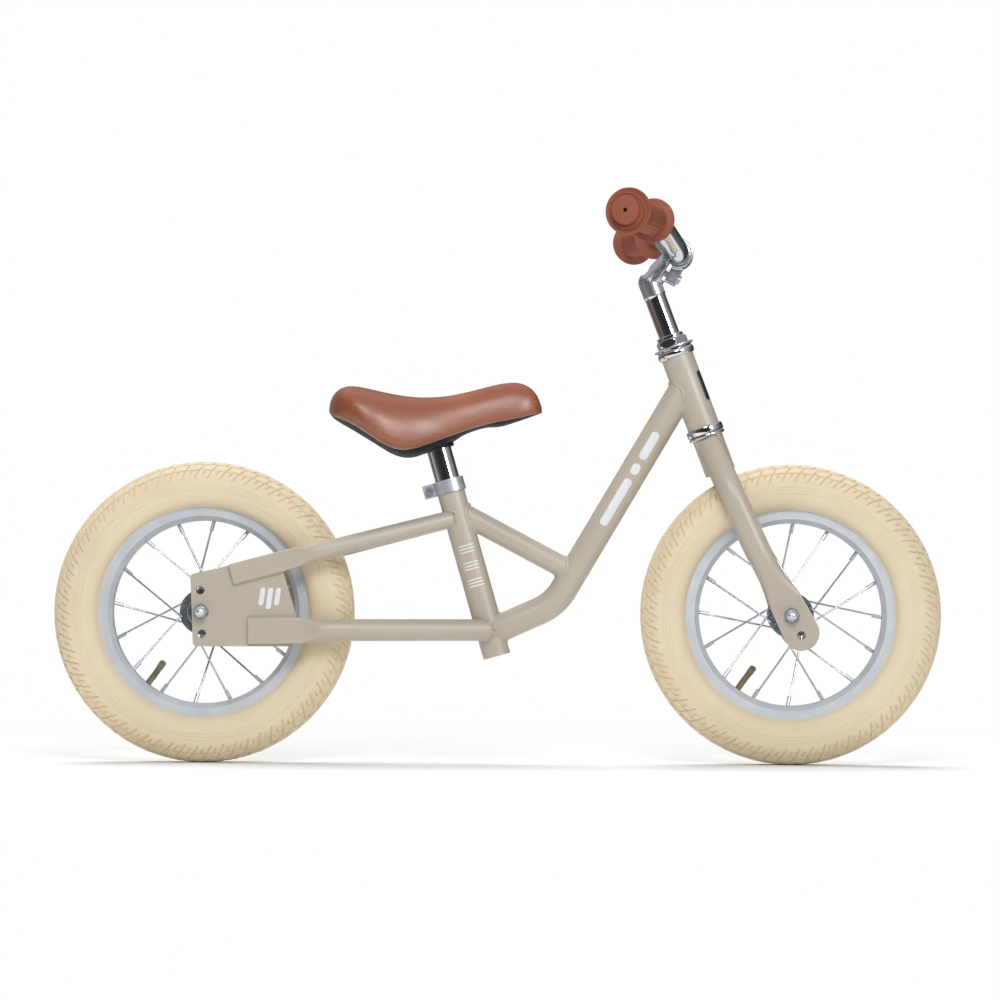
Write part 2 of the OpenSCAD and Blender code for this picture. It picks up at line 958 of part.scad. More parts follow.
module saddle_base() {
  under = [
    [127.3, 354.2], [145, 350.4], [166, 343.4], [186, 331.2], [202, 323], [213.5, 318.2],
    [222, 317.6], [232, 322.6], [251, 329.6], [261, 338.6], [291, 348.2], [303, 347.6],
    [318, 353.6], [346, 361]
  ];
  color(black)
    difference() {
      union() {
        intersection() {
          saddle_column(3);
          saddle_slab(concat(cover_edge, under));
        }
        intersection() {
          socket(0);
          saddle_column(3);
          translate([0, -50, 321])
            cube([400, 100, 60]);
        }
      }
      at_seat()
        cylinder(r = post_d / 2 + seat_gap, h = post_foot + post_l + 0.2);
    }
}

module saddle_pad() {
  top = [
    [127.3, 370], [131, 380], [138, 386.6], [148.5, 389.6], [162, 388.4], [190, 382.5],
    [210, 379], [227.5, 377.8], [250, 379.4], [275, 385.2], [300, 392.2], [320.6, 394.6],
    [333, 391.4], [342, 382], [347.6, 369]
  ];
  color(tan_leather)
    difference() {
      intersection() {
        saddle_column(0);
        saddle_slab(concat(top, cover_edge));
        union() {
          saddle_column(crown_inset);
          translate([0, 0, -crown_drop])
            saddle_slab(concat(top, [[348, 300], [127, 300]]));
        }
      }
      socket(0.3);
    }
}

module saddle_rivet() {
  color(chrome)
    at_seat()
      translate([0, 0, rivet_t])
        for (side = [-1, 1])
          on_side(side)
            translate([0, 0, post_d / 2 - 1.7])
              cylinder(r = rivet_r, h = 2.3);
}

// ---------------------------------------------------------------- wheels, drawn about the axle

tyre_mid_r = tyre_r - tyre_section_r;
bead_r = 101.2;
casing_t = 3.4;
bead_inner_half_w = 8.4;
tube_mid_r = tyre_mid_r + 3;
tube_r = 19.6;
tube_skin = 1.4;

module about_axle() {
  rotate([90, 0, 0])
    rotate_extrude()
      children();
}

module tyre() {
  edge_y = rim_half_w + 0.3;
  color(cream)
    about_axle()
      difference() {
        translate([tyre_mid_r, 0])
          circle(r = tyre_section_r);
        // inside of the casing
        difference() {
          translate([tyre_mid_r, 0])
            circle(r = tyre_section_r - casing_t);
          for (m = [0, 1])
            mirror([0, m])
              polygon([
                [bead_r - 9, bead_inner_half_w], [bead_r + 7, bead_inner_half_w], [bead_r + 17, 24],
                [bead_r + 8, 40], [bead_r - 9, 40]
              ]);
        }
        // throat between the beads
        translate([bead_r - 9, -bead_inner_half_w])
          square([18, 2 * bead_inner_half_w]);
        translate([bead_r - 9, -30])
          square([9, 60]);
        // outside of the casing drawn in towards the rim
        for (m = [0, 1])
          mirror([0, m])
            polygon([
              [bead_r - 9, rim_half_w - 1.6], [rim_flange_r + 0.6, rim_half_w - 1.6],
              [rim_flange_r + 0.6, edge_y], [rim_flange_r + 6.5, 25.1], [rim_flange_r + 4, 40],
              [bead_r - 9, 40]
            ]);
      }
}

module inner_tube() {
  color(black)
    about_axle()
      translate([tube_mid_r, 0])
        difference() {
          circle(r = tube_r);
          circle(r = tube_r - tube_skin);
        }
}

function spoke_angle(k, turn0) = turn0 + k * 360 / spoke_count;
// odd spokes go to the right flange, even ones to the left
function spoke_side(k) = k % 2 == 1 ? -1 : 1;
function spoke_lean(k) = (k % 4 == 3 || k % 4 == 0) ? 45 : -45;
// spokes leaning one way bend outside their flange, the others inside it
function elbow_y(k) = spoke_side(k) * (hub_flange_y + (spoke_lean(k) > 0 ? elbow_out : -elbow_in));

hub_flange_y = 25;
hub_flange_half_t = 1;
hub_hole_r = 21;
elbow_out = 3.4;
elbow_in = 2.8;
nipple_r = 2;
nipple_l = 10.5;
rim_floor_r = 97;

// Point at radius r, angle a in the wheel's plane, y across it
function wheel_point(r, a, y) = [r * cos(a), y, r * sin(a)];

module rim_profile() {
  polygon([
    [rim_flange_r, rim_half_w], [99, rim_half_w], [rim_inner_r, 8], [rim_inner_r, -8],
    [99, -rim_half_w], [rim_flange_r, -rim_half_w], [rim_flange_r, -rim_half_w + 1.5],
    [100.5, -rim_half_w + 1.5], [rim_floor_r, -7], [rim_floor_r, 7],
    [100.5, rim_half_w - 1.5], [rim_flange_r, rim_half_w - 1.5]
  ]);
}

module rim(turn0, valve_at) {
  color(steel)
    difference() {
      about_axle()
        rim_profile();
      for (k = [0 : spoke_count - 1]) {
        a = spoke_angle(k, turn0);
        rod(wheel_point(90, a, 0), wheel_point(100, a, 0), nipple_r + 0.1);
      }
      rod(wheel_point(90, valve_at, 0), wheel_point(100, valve_at, 0), valve_hole_r);
    }
}

module nipples(turn0) {
  color(steel)
    for (k = [0 : spoke_count - 1]) {
      a = spoke_angle(k, turn0);
      hub_p = wheel_point(hub_hole_r, a + spoke_lean(k), elbow_y(k));
      rim_p = wheel_point(rim_floor_r, a, 0);
      u = unit(hub_p - rim_p);
      neck = wheel_point(rim_inner_r - 0.1, a, 0);
      difference() {
        union() {
          rod(wheel_point(rim_floor_r + 1.2, a, 0), wheel_point(rim_inner_r - 0.3, a, 0), nipple_r);
          rod(wheel_point(rim_floor_r + 1.2, a, 0), wheel_point(rim_floor_r + 0.05, a, 0), nipple_r + 0.8);
          rod(neck, neck + nipple_l * u, nipple_r - 0.1);
        }
        rod(rim_p + 1 * u, hub_p, spoke_r + seat_gap);
      }
    }
}

module spokes(turn0) {
  bend_r = spoke_r + 0.1;
  head_t = 1.1;
  color(chrome)
    for (k = [0 : spoke_count - 1]) {
      a = spoke_angle(k, turn0);
      elbow = wheel_point(hub_hole_r, a + spoke_lean(k), elbow_y(k));
      rim_p = wheel_point(rim_floor_r, a, 0);
      through = spoke_lean(k) > 0 ? -spoke_side(k) : spoke_side(k);
      past = (spoke_lean(k) > 0 ? elbow_out : elbow_in) + hub_flange_half_t + 0.05;
      rod(rim_p + 1.3 * unit(elbow - rim_p), elbow, spoke_r);
      rod(elbow - [0, through * 1.2, 0], elbow + [0, through * (past + 0.2), 0], bend_r);
      rod(elbow + [0, through * past, 0], elbow + [0, through * (past + head_t), 0], 1.9);
    }
}

function hub_outline(side) = [
  for (p = side < 0 ? hub_steps : [for (i = [len(hub_steps) - 1 : -1 : 0]) hub_steps[i]])
    [p[0], side * p[1]]
];
hub_steps = [
  [0, 35], [14.4, 35], [15, 34.4], [15, hub_flange_y + hub_flange_half_t],
  [hub_flange_r - 0.4, hub_flange_y + hub_flange_half_t], [hub_flange_r, hub_flange_y + 0.6],
  [hub_flange_r, hub_flange_y - 0.6], [hub_flange_r - 0.4, hub_flange_y - hub_flange_half_t],
  [14, hub_flange_y - hub_flange_half_t], [12, 21]
];

module hub(turn0) {
  color(chrome)
    difference() {
      about_axle()
        difference() {
          polygon(concat(hub_outline(-1), hub_outline(1)));
          translate([0, -40])
            square([7.2, 80]);
          for (m = [0, 1])
            mirror([0, m])
              translate([0, 28.3])
                square([11.7, 10]);
        }
      for (k = [0 : spoke_count - 1]) {
        p = wheel_point(hub_hole_r, spoke_angle(k, turn0) + spoke_lean(k), 0);
        translate(p)
          on_side(spoke_side(k))
            translate([0, 0, 20])
              cylinder(r = spoke_r + 0.25, h = 9);
      }
    }
}

hub_ball_ring = 9.2;
hub_balls_each = 10;

module hub_balls() {
  color(steel)
    for (side = [-1, 1])
      on_side(side)
        for (i = [0 : hub_balls_each - 1])
          rotate([0, 0, i * 360 / hub_balls_each])
            translate([hub_ball_ring, 0, hub_ball_y])
              sphere(r = ball_r, $fn = 24);
}

// The valve leaves the tube, passes the rim and turns to the right side
function valve_path(a) = [
  wheel_point(tube_mid_r - tube_r - 0.1, a, 0),
  wheel_point(84, a, 0),
  wheel_point(73, a, -10)
];
valve_r = 3.2;
valve_hole_r = 4.2;
valve_cap_r = 3.6;
valve_cap_l = 8;

module valve(a) {
  color(black)
    bent_rod(valve_path(a), valve_r, 8);
}

module valve_cap(a) {
  p = valve_path(a);
  u = unit(p[2] - p[1]);
  color(steel)
    difference() {
      rod(p[2] + 0.02 * u, p[2] + valve_cap_l * u, valve_cap_r);
      rod(p[2] - u, p[2] + 6 * u, 2.4);
    }
}

front_valve_at = -125;
rear_valve_at = -128;

module front_tyre() { at_front_axle() tyre(); }
module front_inner_tube() { at_front_axle() inner_tube(); }
module front_rim() { at_front_axle() rim(front_spoke_turn, front_valve_at); }
module front_spokes() { at_front_axle() spokes(front_spoke_turn); }
module front_nipples() { at_front_axle() nipples(front_spoke_turn); }
module front_hub() { at_front_axle() hub(front_spoke_turn); }
module front_hub_balls() { at_front_axle() hub_balls(); }
module front_valve() { at_front_axle() valve(front_valve_at); }
module front_valve_cap() { at_front_axle() valve_cap(front_valve_at); }
module rear_tyre() { at_rear_axle() tyre(); }
module rear_inner_tube() { at_rear_axle() inner_tube(); }
module rear_rim() { at_rear_axle() rim(rear_spoke_turn, rear_valve_at); }
module rear_spokes() { at_rear_axle() spokes(rear_spoke_turn); }
module rear_nipples() { at_rear_axle() nipples(rear_spoke_turn); }
module rear_hub() { at_rear_axle() hub(rear_spoke_turn); }
module rear_hub_balls() { at_rear_axle() hub_balls(); }
module rear_valve() { at_rear_axle() valve(rear_valve_at); }
module rear_valve_cap() { at_rear_axle() valve_cap(rear_valve_at); }

// ---------------------------------------------------------------- what is drawn

head_tube();
down_tube();
seat_tube();
brace_tube();
upper_stay_left();
upper_stay_right();
lower_stay_left();
lower_stay_right();
dropout_left();
dropout_right();
headset_cup_lower();
headset_cup_upper();
headset_balls();
head_badge();
seat_clamp();
seat_clamp_bolt();
rear_axle();
rear_cones();
rear_locknuts();
rear_axle_nuts();
steerer();
fork_blade_left();
fork_blade_right();
crown_race();
adjusting_race();
keyed_washer();
lock_nut();
front_axle();
front_cones();
front_locknuts();
front_axle_nuts();
stem();
stem_wedge();
stem_bolt();
bar_clamp_bolt();
handlebar();
grip_left();
grip_right();
seat_post();
saddle_base();
saddle_pad();
saddle_rivet();
front_tyre();
front_inner_tube();
front_rim();
front_spokes();
front_nipples();
front_hub();
front_hub_balls();
front_valve();
front_valve_cap();
rear_tyre();
rear_inner_tube();
rear_rim();
rear_spokes();
rear_nipples();
rear_hub();
rear_hub_balls();
rear_valve();
rear_valve_cap();
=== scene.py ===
"""Looks of the child's balance bike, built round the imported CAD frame. Metres, X forward, Z up."""

import json
import math

import bmesh
import bpy
import numpy as np
from mathutils import Matrix, Vector


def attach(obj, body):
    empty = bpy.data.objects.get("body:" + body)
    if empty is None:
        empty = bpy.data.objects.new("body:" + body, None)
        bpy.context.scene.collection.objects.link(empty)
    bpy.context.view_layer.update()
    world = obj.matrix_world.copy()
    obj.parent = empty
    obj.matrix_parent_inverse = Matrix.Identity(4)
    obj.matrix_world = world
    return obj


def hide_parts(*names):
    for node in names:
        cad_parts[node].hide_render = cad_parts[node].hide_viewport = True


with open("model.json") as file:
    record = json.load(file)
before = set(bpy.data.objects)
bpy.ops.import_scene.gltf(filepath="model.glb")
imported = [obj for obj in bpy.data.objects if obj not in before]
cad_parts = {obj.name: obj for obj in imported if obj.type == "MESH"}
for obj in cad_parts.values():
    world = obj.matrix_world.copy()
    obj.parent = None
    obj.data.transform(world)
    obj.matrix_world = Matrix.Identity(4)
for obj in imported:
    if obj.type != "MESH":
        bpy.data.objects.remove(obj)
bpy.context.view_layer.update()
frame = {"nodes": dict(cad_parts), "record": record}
nodes = frame["nodes"]
MM = 0.001

# ------------------------------------------------------------------ sizes shared with the CAD

HEAD_FOOT = (515.46, 0, 348.7)
HEAD_LEAN = 20.65
STEER_REST = 3.63
HEAD_TUBE_R = 16.75
FORK_RAKE, AXLE_DROP = 16, 213
TYRE_R, TYRE_SECTION_R = 155, 28
TYRE_MID_R = TYRE_R - TYRE_SECTION_R
SEAT_FOOT = (302.3, 0, 110.8)
SEAT_LEAN = 15.95
SEAT_TUBE_R = 14.3
SEAT_TUBE_L = 189
SEAT_BORE_R = 13.2  # nothing drawn reaches the seat post inside the tube
STEERER_BORE_R = 12  # nor the quill inside the steerer
STEERER_FOOT_R = 15.9  # where the blades are welded on
STEERER_FIT_R = 12.8  # inside of the rings that turn with the steerer
SOCKET_BORE_R = 12.75
DOWN_TUBE_R = 14.3
DOWN_TUBE = [(300.5, 0, 137.4), (362, 0, 164.8), (493, 0, 387.1)]
BRACE_R = 11.1
BRACE = [(262, 0, 260.2), (378.5, 0, 198.5)]
PLATE_OUT_Y = 46
TONGUE_HALF_T = 2.5  # half thickness of the stays' and blades' pressed ends
TONGUE_Y = PLATE_OUT_Y + TONGUE_HALF_T
ROUND, FLAT = 2, 9  # squareness of a lofted section: a plain tube, a pressed end
BAR_R = 11.1
GRIP_START = (23.3, 100.1, 210.5)
GRIP_DIR = (-0.258, 1, 0.1185)
GRIP_L = 86

HEAD = (Matrix.Translation(Vector(HEAD_FOOT) * MM)
        @ Matrix.Rotation(math.radians(-HEAD_LEAN), 4, "Y"))
STEERED = HEAD @ Matrix.Rotation(math.radians(-STEER_REST), 4, "Z")
FRONT_WHEEL = (STEERED @ Matrix.Translation(Vector((FORK_RAKE, 0, -AXLE_DROP)) * MM)
               @ Matrix.Rotation(math.radians(HEAD_LEAN), 4, "Y"))
REAR_WHEEL = Matrix.Translation(Vector((0, 0, TYRE_R)) * MM)
SEAT = (Matrix.Translation(Vector(SEAT_FOOT) * MM)
        @ Matrix.Rotation(math.radians(-SEAT_LEAN), 4, "Y"))
ROW = Matrix.Identity(4)


# ------------------------------------------------------------------ materials

def srgb(r, g, b):
    """An 8-bit colour as linear RGBA."""
    def linear(c):
        c /= 255
        return c / 12.92 if c <= 0.04045 else ((c + 0.055) / 1.055) ** 2.4
    return (linear(r), linear(g), linear(b), 1)


def material(name, dark, light, scale, rough, metal=0.0, bump=0.0, bump_scale=400.0,
             cells=False, coat=0.0, coat_rough=0.1, stretch=(1, 1, 1), specular=0.5,
             bump_distance=0.0006):
    """A surface whose colour and roughness drift with a fine noise and whose relief is a grain.
    dark and light are the two colours it drifts between, rough the two roughnesses."""
    m = bpy.data.materials.new(name)
    m.use_nodes = True
    nt = m.node_tree
    add, link = nt.nodes.new, nt.links.new
    shader = nt.nodes["Principled BSDF"]
    coords = add("ShaderNodeTexCoord")
    mapping = add("ShaderNodeMapping")
    mapping.inputs["Scale"].default_value = stretch
    link(coords.outputs["Object"], mapping.inputs["Vector"])
    broad = add("ShaderNodeTexNoise")
    broad.inputs["Scale"].default_value = scale
    broad.inputs["Detail"].default_value = 5
    link(mapping.outputs["Vector"], broad.inputs["Vector"])
    ramp = add("ShaderNodeValToRGB")
    ramp.color_ramp.elements[0].position = 0.3
    ramp.color_ramp.elements[0].color = dark
    ramp.color_ramp.elements[1].position = 0.7
    ramp.color_ramp.elements[1].color = light
    link(broad.outputs["Fac"], ramp.inputs["Fac"])
    link(ramp.outputs["Color"], shader.inputs["Base Color"])
    fine = add("ShaderNodeTexNoise")
    fine.inputs["Scale"].default_value = scale * 6
    fine.inputs["Detail"].default_value = 3
    link(mapping.outputs["Vector"], fine.inputs["Vector"])
    spread = add("ShaderNodeMapRange")
    spread.inputs["From Min"].default_value = 0.3
    spread.inputs["From Max"].default_value = 0.7
    spread.inputs["To Min"].default_value = rough[0]
    spread.inputs["To Max"].default_value = rough[1]
    link(fine.outputs["Fac"], spread.inputs["Value"])
    link(spread.outputs["Result"], shader.inputs["Roughness"])
    shader.inputs["Metallic"].default_value = metal
    shader.inputs["Coat Weight"].default_value = coat
    shader.inputs["Coat Roughness"].default_value = coat_rough
    shader.inputs["Specular IOR Level"].default_value = specular
    if bump:
        grain = add("ShaderNodeTexVoronoi" if cells else "ShaderNodeTexNoise")
        grain.inputs["Scale"].default_value = bump_scale
        link(mapping.outputs["Vector"], grain.inputs["Vector"])
        relief = add("ShaderNodeBump")
        relief.inputs["Strength"].default_value = bump
        relief.inputs["Distance"].default_value = bump_distance
        link(grain.outputs["Distance" if cells else "Fac"], relief.inputs["Height"])
        link(relief.outputs["Normal"], shader.inputs["Normal"])
    return m


MAT = {
    "frame_paint": material("frame_paint", srgb(180, 170, 156), srgb(187, 178, 163), 9,
                            (0.38, 0.46), bump=0.05, bump_scale=900, coat=0.2, coat_rough=0.4),
    "chrome": material("chrome", srgb(205, 207, 212), srgb(222, 224, 228), 14, (0.05, 0.1),
                       metal=1, bump=0.02, bump_scale=260),
    "forged": material("forged", srgb(186, 190, 199), srgb(208, 211, 218), 22, (0.2, 0.28),
                       metal=0.8, bump=0.06, bump_scale=320),
    "plated_steel": material("plated_steel", srgb(178, 184, 192), srgb(198, 203, 210), 30,
                             (0.3, 0.42), metal=0.6, bump=0.05, bump_scale=700,
                             stretch=(1, 1, 6)),
    "spoke_steel": material("spoke_steel", srgb(168, 176, 186), srgb(200, 206, 214), 60,
                            (0.2, 0.34), metal=1, bump=0.03, bump_scale=900),
    "rim_alloy": material("rim_alloy", srgb(194, 200, 208), srgb(206, 211, 218), 50,
                          (0.40, 0.52), metal=0.35, bump=0.10, bump_scale=1500),
    "cream_tyre": material("cream_tyre", srgb(222, 206, 176), srgb(231, 216, 187), 12,
                           (0.62, 0.78), bump=0.12, bump_scale=700, specular=0.35),
    # the tread's grooves: the tyre's cream made darker, painted shade for the recesses
    "tread_groove_shade": material("tread_groove_shade", srgb(211, 186, 148), srgb(222, 200, 164), 40,
                             (0.7, 0.82), bump=0.12, bump_scale=700, specular=0.3),
    "nut_steel": material("nut_steel", srgb(196, 199, 206), srgb(216, 219, 225), 40, (0.1, 0.18),
                          metal=0.6, bump=0.02, bump_scale=500),
    "hub_steel": material("hub_steel", srgb(150, 160, 176), srgb(178, 187, 200), 40, (0.14, 0.24),
                          metal=0.8, bump=0.02, bump_scale=500),
    "black_rubber": material("black_rubber", srgb(24, 24, 25), srgb(34, 34, 35), 30,
                             (0.6, 0.8), bump=0.1, bump_scale=700),
    "valve_rubber": material("valve_rubber", srgb(118, 106, 88), srgb(150, 138, 118), 60,
                             (0.3, 0.45), metal=0.6, bump=0.05, bump_scale=900),
    "grip_rubber": material("grip_rubber", srgb(138, 73, 52), srgb(154, 86, 64), 26,
                            (0.5, 0.64), bump=0.10, bump_scale=1100, specular=0.4),
    "saddle_leather": material("saddle_leather", srgb(132, 62, 24), srgb(148, 74, 31), 16,
                               (0.44, 0.56), bump=0.8, bump_scale=480, cells=True,
                               specular=0.5, bump_distance=0.0005,
                               coat=1.0, coat_rough=0.38),
    "black_plastic": material("black_plastic", srgb(16, 17, 19), srgb(24, 25, 28), 40,
                              (0.5, 0.7), bump=0.12, bump_scale=900, specular=0.25),
    "badge_black": material("badge_black", srgb(34, 34, 38), srgb(58, 58, 64), 240,
                            (0.3, 0.5), metal=0.3, bump=0.3, bump_scale=700, cells=True),
    "decal": material("decal", srgb(222, 226, 228), srgb(232, 235, 236), 40, (0.34, 0.44),
                      bump=0.03, bump_scale=900, coat=0.3),
}

# ------------------------------------------------------------------ mesh helpers


def piece(name, verts, faces, mat, body, place=ROW, instead_of=(),
          crease_angle=None):
    """A mesh piece from points in mm in the frame `place`, riding on a body."""
    mesh = bpy.data.meshes.new(name)
    pts = np.asarray(verts, float) * MM
    m = np.array(place)
    pts = pts @ m[:3, :3].T + m[:3, 3]
    mesh.from_pydata(pts.tolist(), [], [list(map(int, f)) for f in faces])
    bm = bmesh.new()
    bm.from_mesh(mesh)
    bmesh.ops.remove_doubles(bm, verts=bm.verts, dist=1e-7)
    bmesh.ops.recalc_face_normals(bm, faces=bm.faces)
    bm.to_mesh(mesh)
    bm.free()
    o = bpy.data.objects.new(name, mesh)
    bpy.context.scene.collection.objects.link(o)
    mesh.materials.append(MAT[mat])
    for p in mesh.polygons:
        p.use_smooth = True
    if crease_angle:
        mesh.set_sharp_from_angle(angle=math.radians(crease_angle))
    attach(o, body)
    if instead_of:
        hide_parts(*instead_of)
    return o


def grid(rows, cols, closed_rows=False, closed_cols=False):
    """Quads over a rows x cols array of points."""
    faces = []
    for i in range(rows if closed_rows else rows - 1):
        for j in range(cols if closed_cols else cols - 1):
            a, b = i * cols + j, i * cols + (j + 1) % cols
            c, d = (i + 1) % rows * cols + (j + 1) % cols, (i + 1) % rows * cols + j
            faces.append((a, b, c, d))
    return faces


def unit(v):
    v = np.asarray(v, float)
    return v / np.linalg.norm(v)


def filleted(points, radius, step=5):
    """Points along a path whose corners are rounded to the given radius."""
    p = [np.asarray(q, float) for q in points]
    out = [p[0]]
    for a, b, c in zip(p, p[1:], p[2:]):
        u, w = unit(b - a), unit(c - b)
        turn = math.acos(np.clip(u @ w, -1, 1))
        cut = radius * math.tan(turn / 2)
        n = unit(np.cross(u, w))
        centre = b - u * cut + np.cross(n, u) * radius
        count = max(3, int(radius * turn / step))
        for k in range(count + 1):
            t = turn * k / count
            out.append(centre - np.cross(n, u) * radius * math.cos(t) + u * radius * math.sin(t))
    out.append(p[-1])
    return out


def revolve(profile, origin, axis, count, wave=None):
    """Points and faces of a profile of (distance along axis, radius) turned about an axis."""
    axis = unit(axis)
    e1 = unit(np.cross(axis, (0.1, 0.3, 1)))
    e2 = np.cross(axis, e1)
    pts = []
    for i, (d, r) in enumerate(profile):
        for j in range(count):
            t = 2 * math.pi * j / count
            rr = r + (wave(i, j) if wave else 0)
            pts.append(np.asarray(origin) + axis * d + rr * (math.cos(t) * e1 + math.sin(t) * e2))
    return pts, grid(len(profile), count, closed_cols=True)


def loft(stations, sides=36):
    """A tube through sections (centre, half height, half thickness, squareness). The height
    lies in the plane of the path seen from the side and the thickness runs across it."""
    centres = [np.asarray(s[0], float) for s in stations]
    pts = []
    for i, (c, a, b, n) in enumerate(stations):
        t = unit(centres[min(i + 1, len(centres) - 1)] - centres[max(i - 1, 0)])
        up = unit(np.cross(t, (0, 1, 0)))
        out = np.cross(t, up)
        for k in range(sides):
            w = 2 * math.pi * k / sides
            cw, sw = math.cos(w), math.sin(w)
            pts.append(np.asarray(c)
                       + up * a * math.copysign(abs(cw) ** (2 / n), cw)
                       + out * b * math.copysign(abs(sw) ** (2 / n), sw))
    faces = grid(len(stations), sides, closed_cols=True)
    faces.append(list(range(sides)))
    faces.append([(len(stations) - 1) * sides + k for k in range(sides)])
    return pts, faces


def blend(a, b, t):
    """From a to b as t goes from 0 to 1, easing at both ends."""
    t = max(0.0, min(1.0, t))
    return a + (b - a) * t * t * (3 - 2 * t)


def bead(name, path, body, radius=2.6, place=ROW, closed=False, seed=1):
    """A weld bead: a slightly uneven, rippled tube laid along a path."""
    rng = np.random.default_rng(seed)
    p = np.asarray(path, float)
    seg = np.linalg.norm(np.diff(np.vstack([p, p[:1]]) if closed else p, axis=0), axis=1)
    s = np.concatenate([[0], np.cumsum(seg)])
    count = max(8, int(s[-1] / 0.9))
    at = np.linspace(0, s[-1], count, endpoint=not closed)
    src = np.vstack([p, p[:1]]) if closed else p
    pts = np.stack([np.interp(at, s, src[:, k]) for k in range(3)], 1)
    ripple = 1 + 0.10 * np.sin(at * 2 * math.pi / 3.1) + 0.06 * rng.standard_normal(count)
    verts, sides = [], 10
    for i in range(count):
        nxt = pts[(i + 1) % count] if closed or i + 1 < count else pts[i]
        prv = pts[i - 1] if closed or i > 0 else pts[i]
        t = unit(nxt - prv)
        e1 = unit(np.cross(t, (0.3, 1, 0.2)))
        e2 = np.cross(t, e1)
        end = 1.0 if closed else min(1.0, 0.35 + min(i, count - 1 - i) * 0.25)
        for k in range(sides):
            w = 2 * math.pi * k / sides
            verts.append(pts[i] + radius * ripple[i] * end * (math.cos(w) * e1 + math.sin(w) * e2))
    faces = grid(count, sides, closed_rows=closed, closed_cols=True)
    if not closed:
        faces += [list(range(sides)), [(count - 1) * sides + k for k in range(sides)]]
    return piece(name, verts, faces, "frame_paint", body, place)


def meeting_line(start, direction, r, axis_point, axis, big_r):
    """Where a round tube running from start along direction meets a bigger round tube, sunk
    a little into both."""
    count, sunk = 72, 1.0
    d, ax = unit(direction), unit(axis)
    e1 = unit(np.cross(d, ax if abs(d @ ax) < 0.95 else (0, 1, 0)))
    e2 = np.cross(d, e1)
    out = []
    for k in range(count):
        t = 2 * math.pi * k / count
        p = np.asarray(start, float) + r * (math.cos(t) * e1 + math.sin(t) * e2)
        rel = p - np.asarray(axis_point, float)
        a = rel - (rel @ ax) * ax
        b = d - (d @ ax) * ax
        qa, qb, qc = b @ b, 2 * a @ b, a @ a - big_r ** 2
        disc = qb * qb - 4 * qa * qc
        if disc < 0:
            continue
        root = math.sqrt(disc)
        hit = p + d * (-qb - root) / (2 * qa)
        away = hit - np.asarray(axis_point, float)
        away = unit(away - (away @ ax) * ax)
        own = math.cos(t) * e1 + math.sin(t) * e2
        out.append(hit - unit(away + own) * sunk)
    return out


def hole_cutter(place, x, h, r, depth):
    """A round cutter lying across a place, at x and h in it."""
    bm = bmesh.new()
    bmesh.ops.create_cone(bm, cap_ends=True, segments=40, radius1=r * MM, radius2=r * MM,
                          depth=depth * MM)
    m = (place @ Matrix.Translation(Vector((x, 0, h)) * MM)
         @ Matrix.Rotation(math.radians(90), 4, "X"))
    bm.transform(m)
    mesh = bpy.data.meshes.new("cutter")
    bm.to_mesh(mesh)
    bm.free()
    o = bpy.data.objects.new("cutter", mesh)
    bpy.context.scene.collection.objects.link(o)
    return o


def drill(o, cutters, crossing=False):
    """Cuts the cutters out of a piece and removes them; crossing if the piece crosses itself."""
    for c in cutters:
        mod = o.modifiers.new("hole", "BOOLEAN")
        mod.operation, mod.object, mod.solver = "DIFFERENCE", c, "EXACT"
        mod.use_self = crossing
    bpy.context.view_layer.update()
    dg = bpy.context.evaluated_depsgraph_get()
    cut = bpy.data.meshes.new_from_object(o.evaluated_get(dg))
    o.modifiers.clear()
    o.data = cut
    for c in cutters:
        bpy.data.objects.remove(c)


def bore_cutter(place, r):
    """A long round cutter along the upright axis of a place."""
    return hole_cutter(place @ Matrix.Rotation(math.radians(-90), 4, "X"), 0, 0, r, 900)


# ------------------------------------------------------------------ tyres

PITCHES = 66
# columns of one tread pitch: share of the pitch, and depth there of the two cross grooves
COLUMNS = [(-0.09, 0, 0), (-0.055, 1, 0), (0.055, 1, 0), (0.09, 0, 0), (0.25, 0, 0),
           (0.41, 0, 0), (0.445, 0, 1), (0.555, 0, 1), (0.59, 0, 0), (0.75, 0, 0)]
TREAD_DEPTH = 0.95
TREAD_END = 72
SLANT = 1.3  # how far the cross grooves run round, in pitches
# grooved faces further out than these get the painted groove shade
TREAD_LOW, TREAD_INNER_R = 9.5, 26.5  # the grooves lie further out than these
SIDE_INSET = 0.45
CASING_R = 24  # the section's radius inside the casing
RIM_EDGE = (108.6, 13.9)  # where the tyre's skin meets the rim flange
# plain raised bars round the sidewall, as (start, end) in degrees round the wheel
SIDE_BARS = [(20, 34), (38, 44), (48, 66), (118, 128), (132, 150), (205, 214), (218, 246),
             (250, 255), (300, 318), (322, 330)]


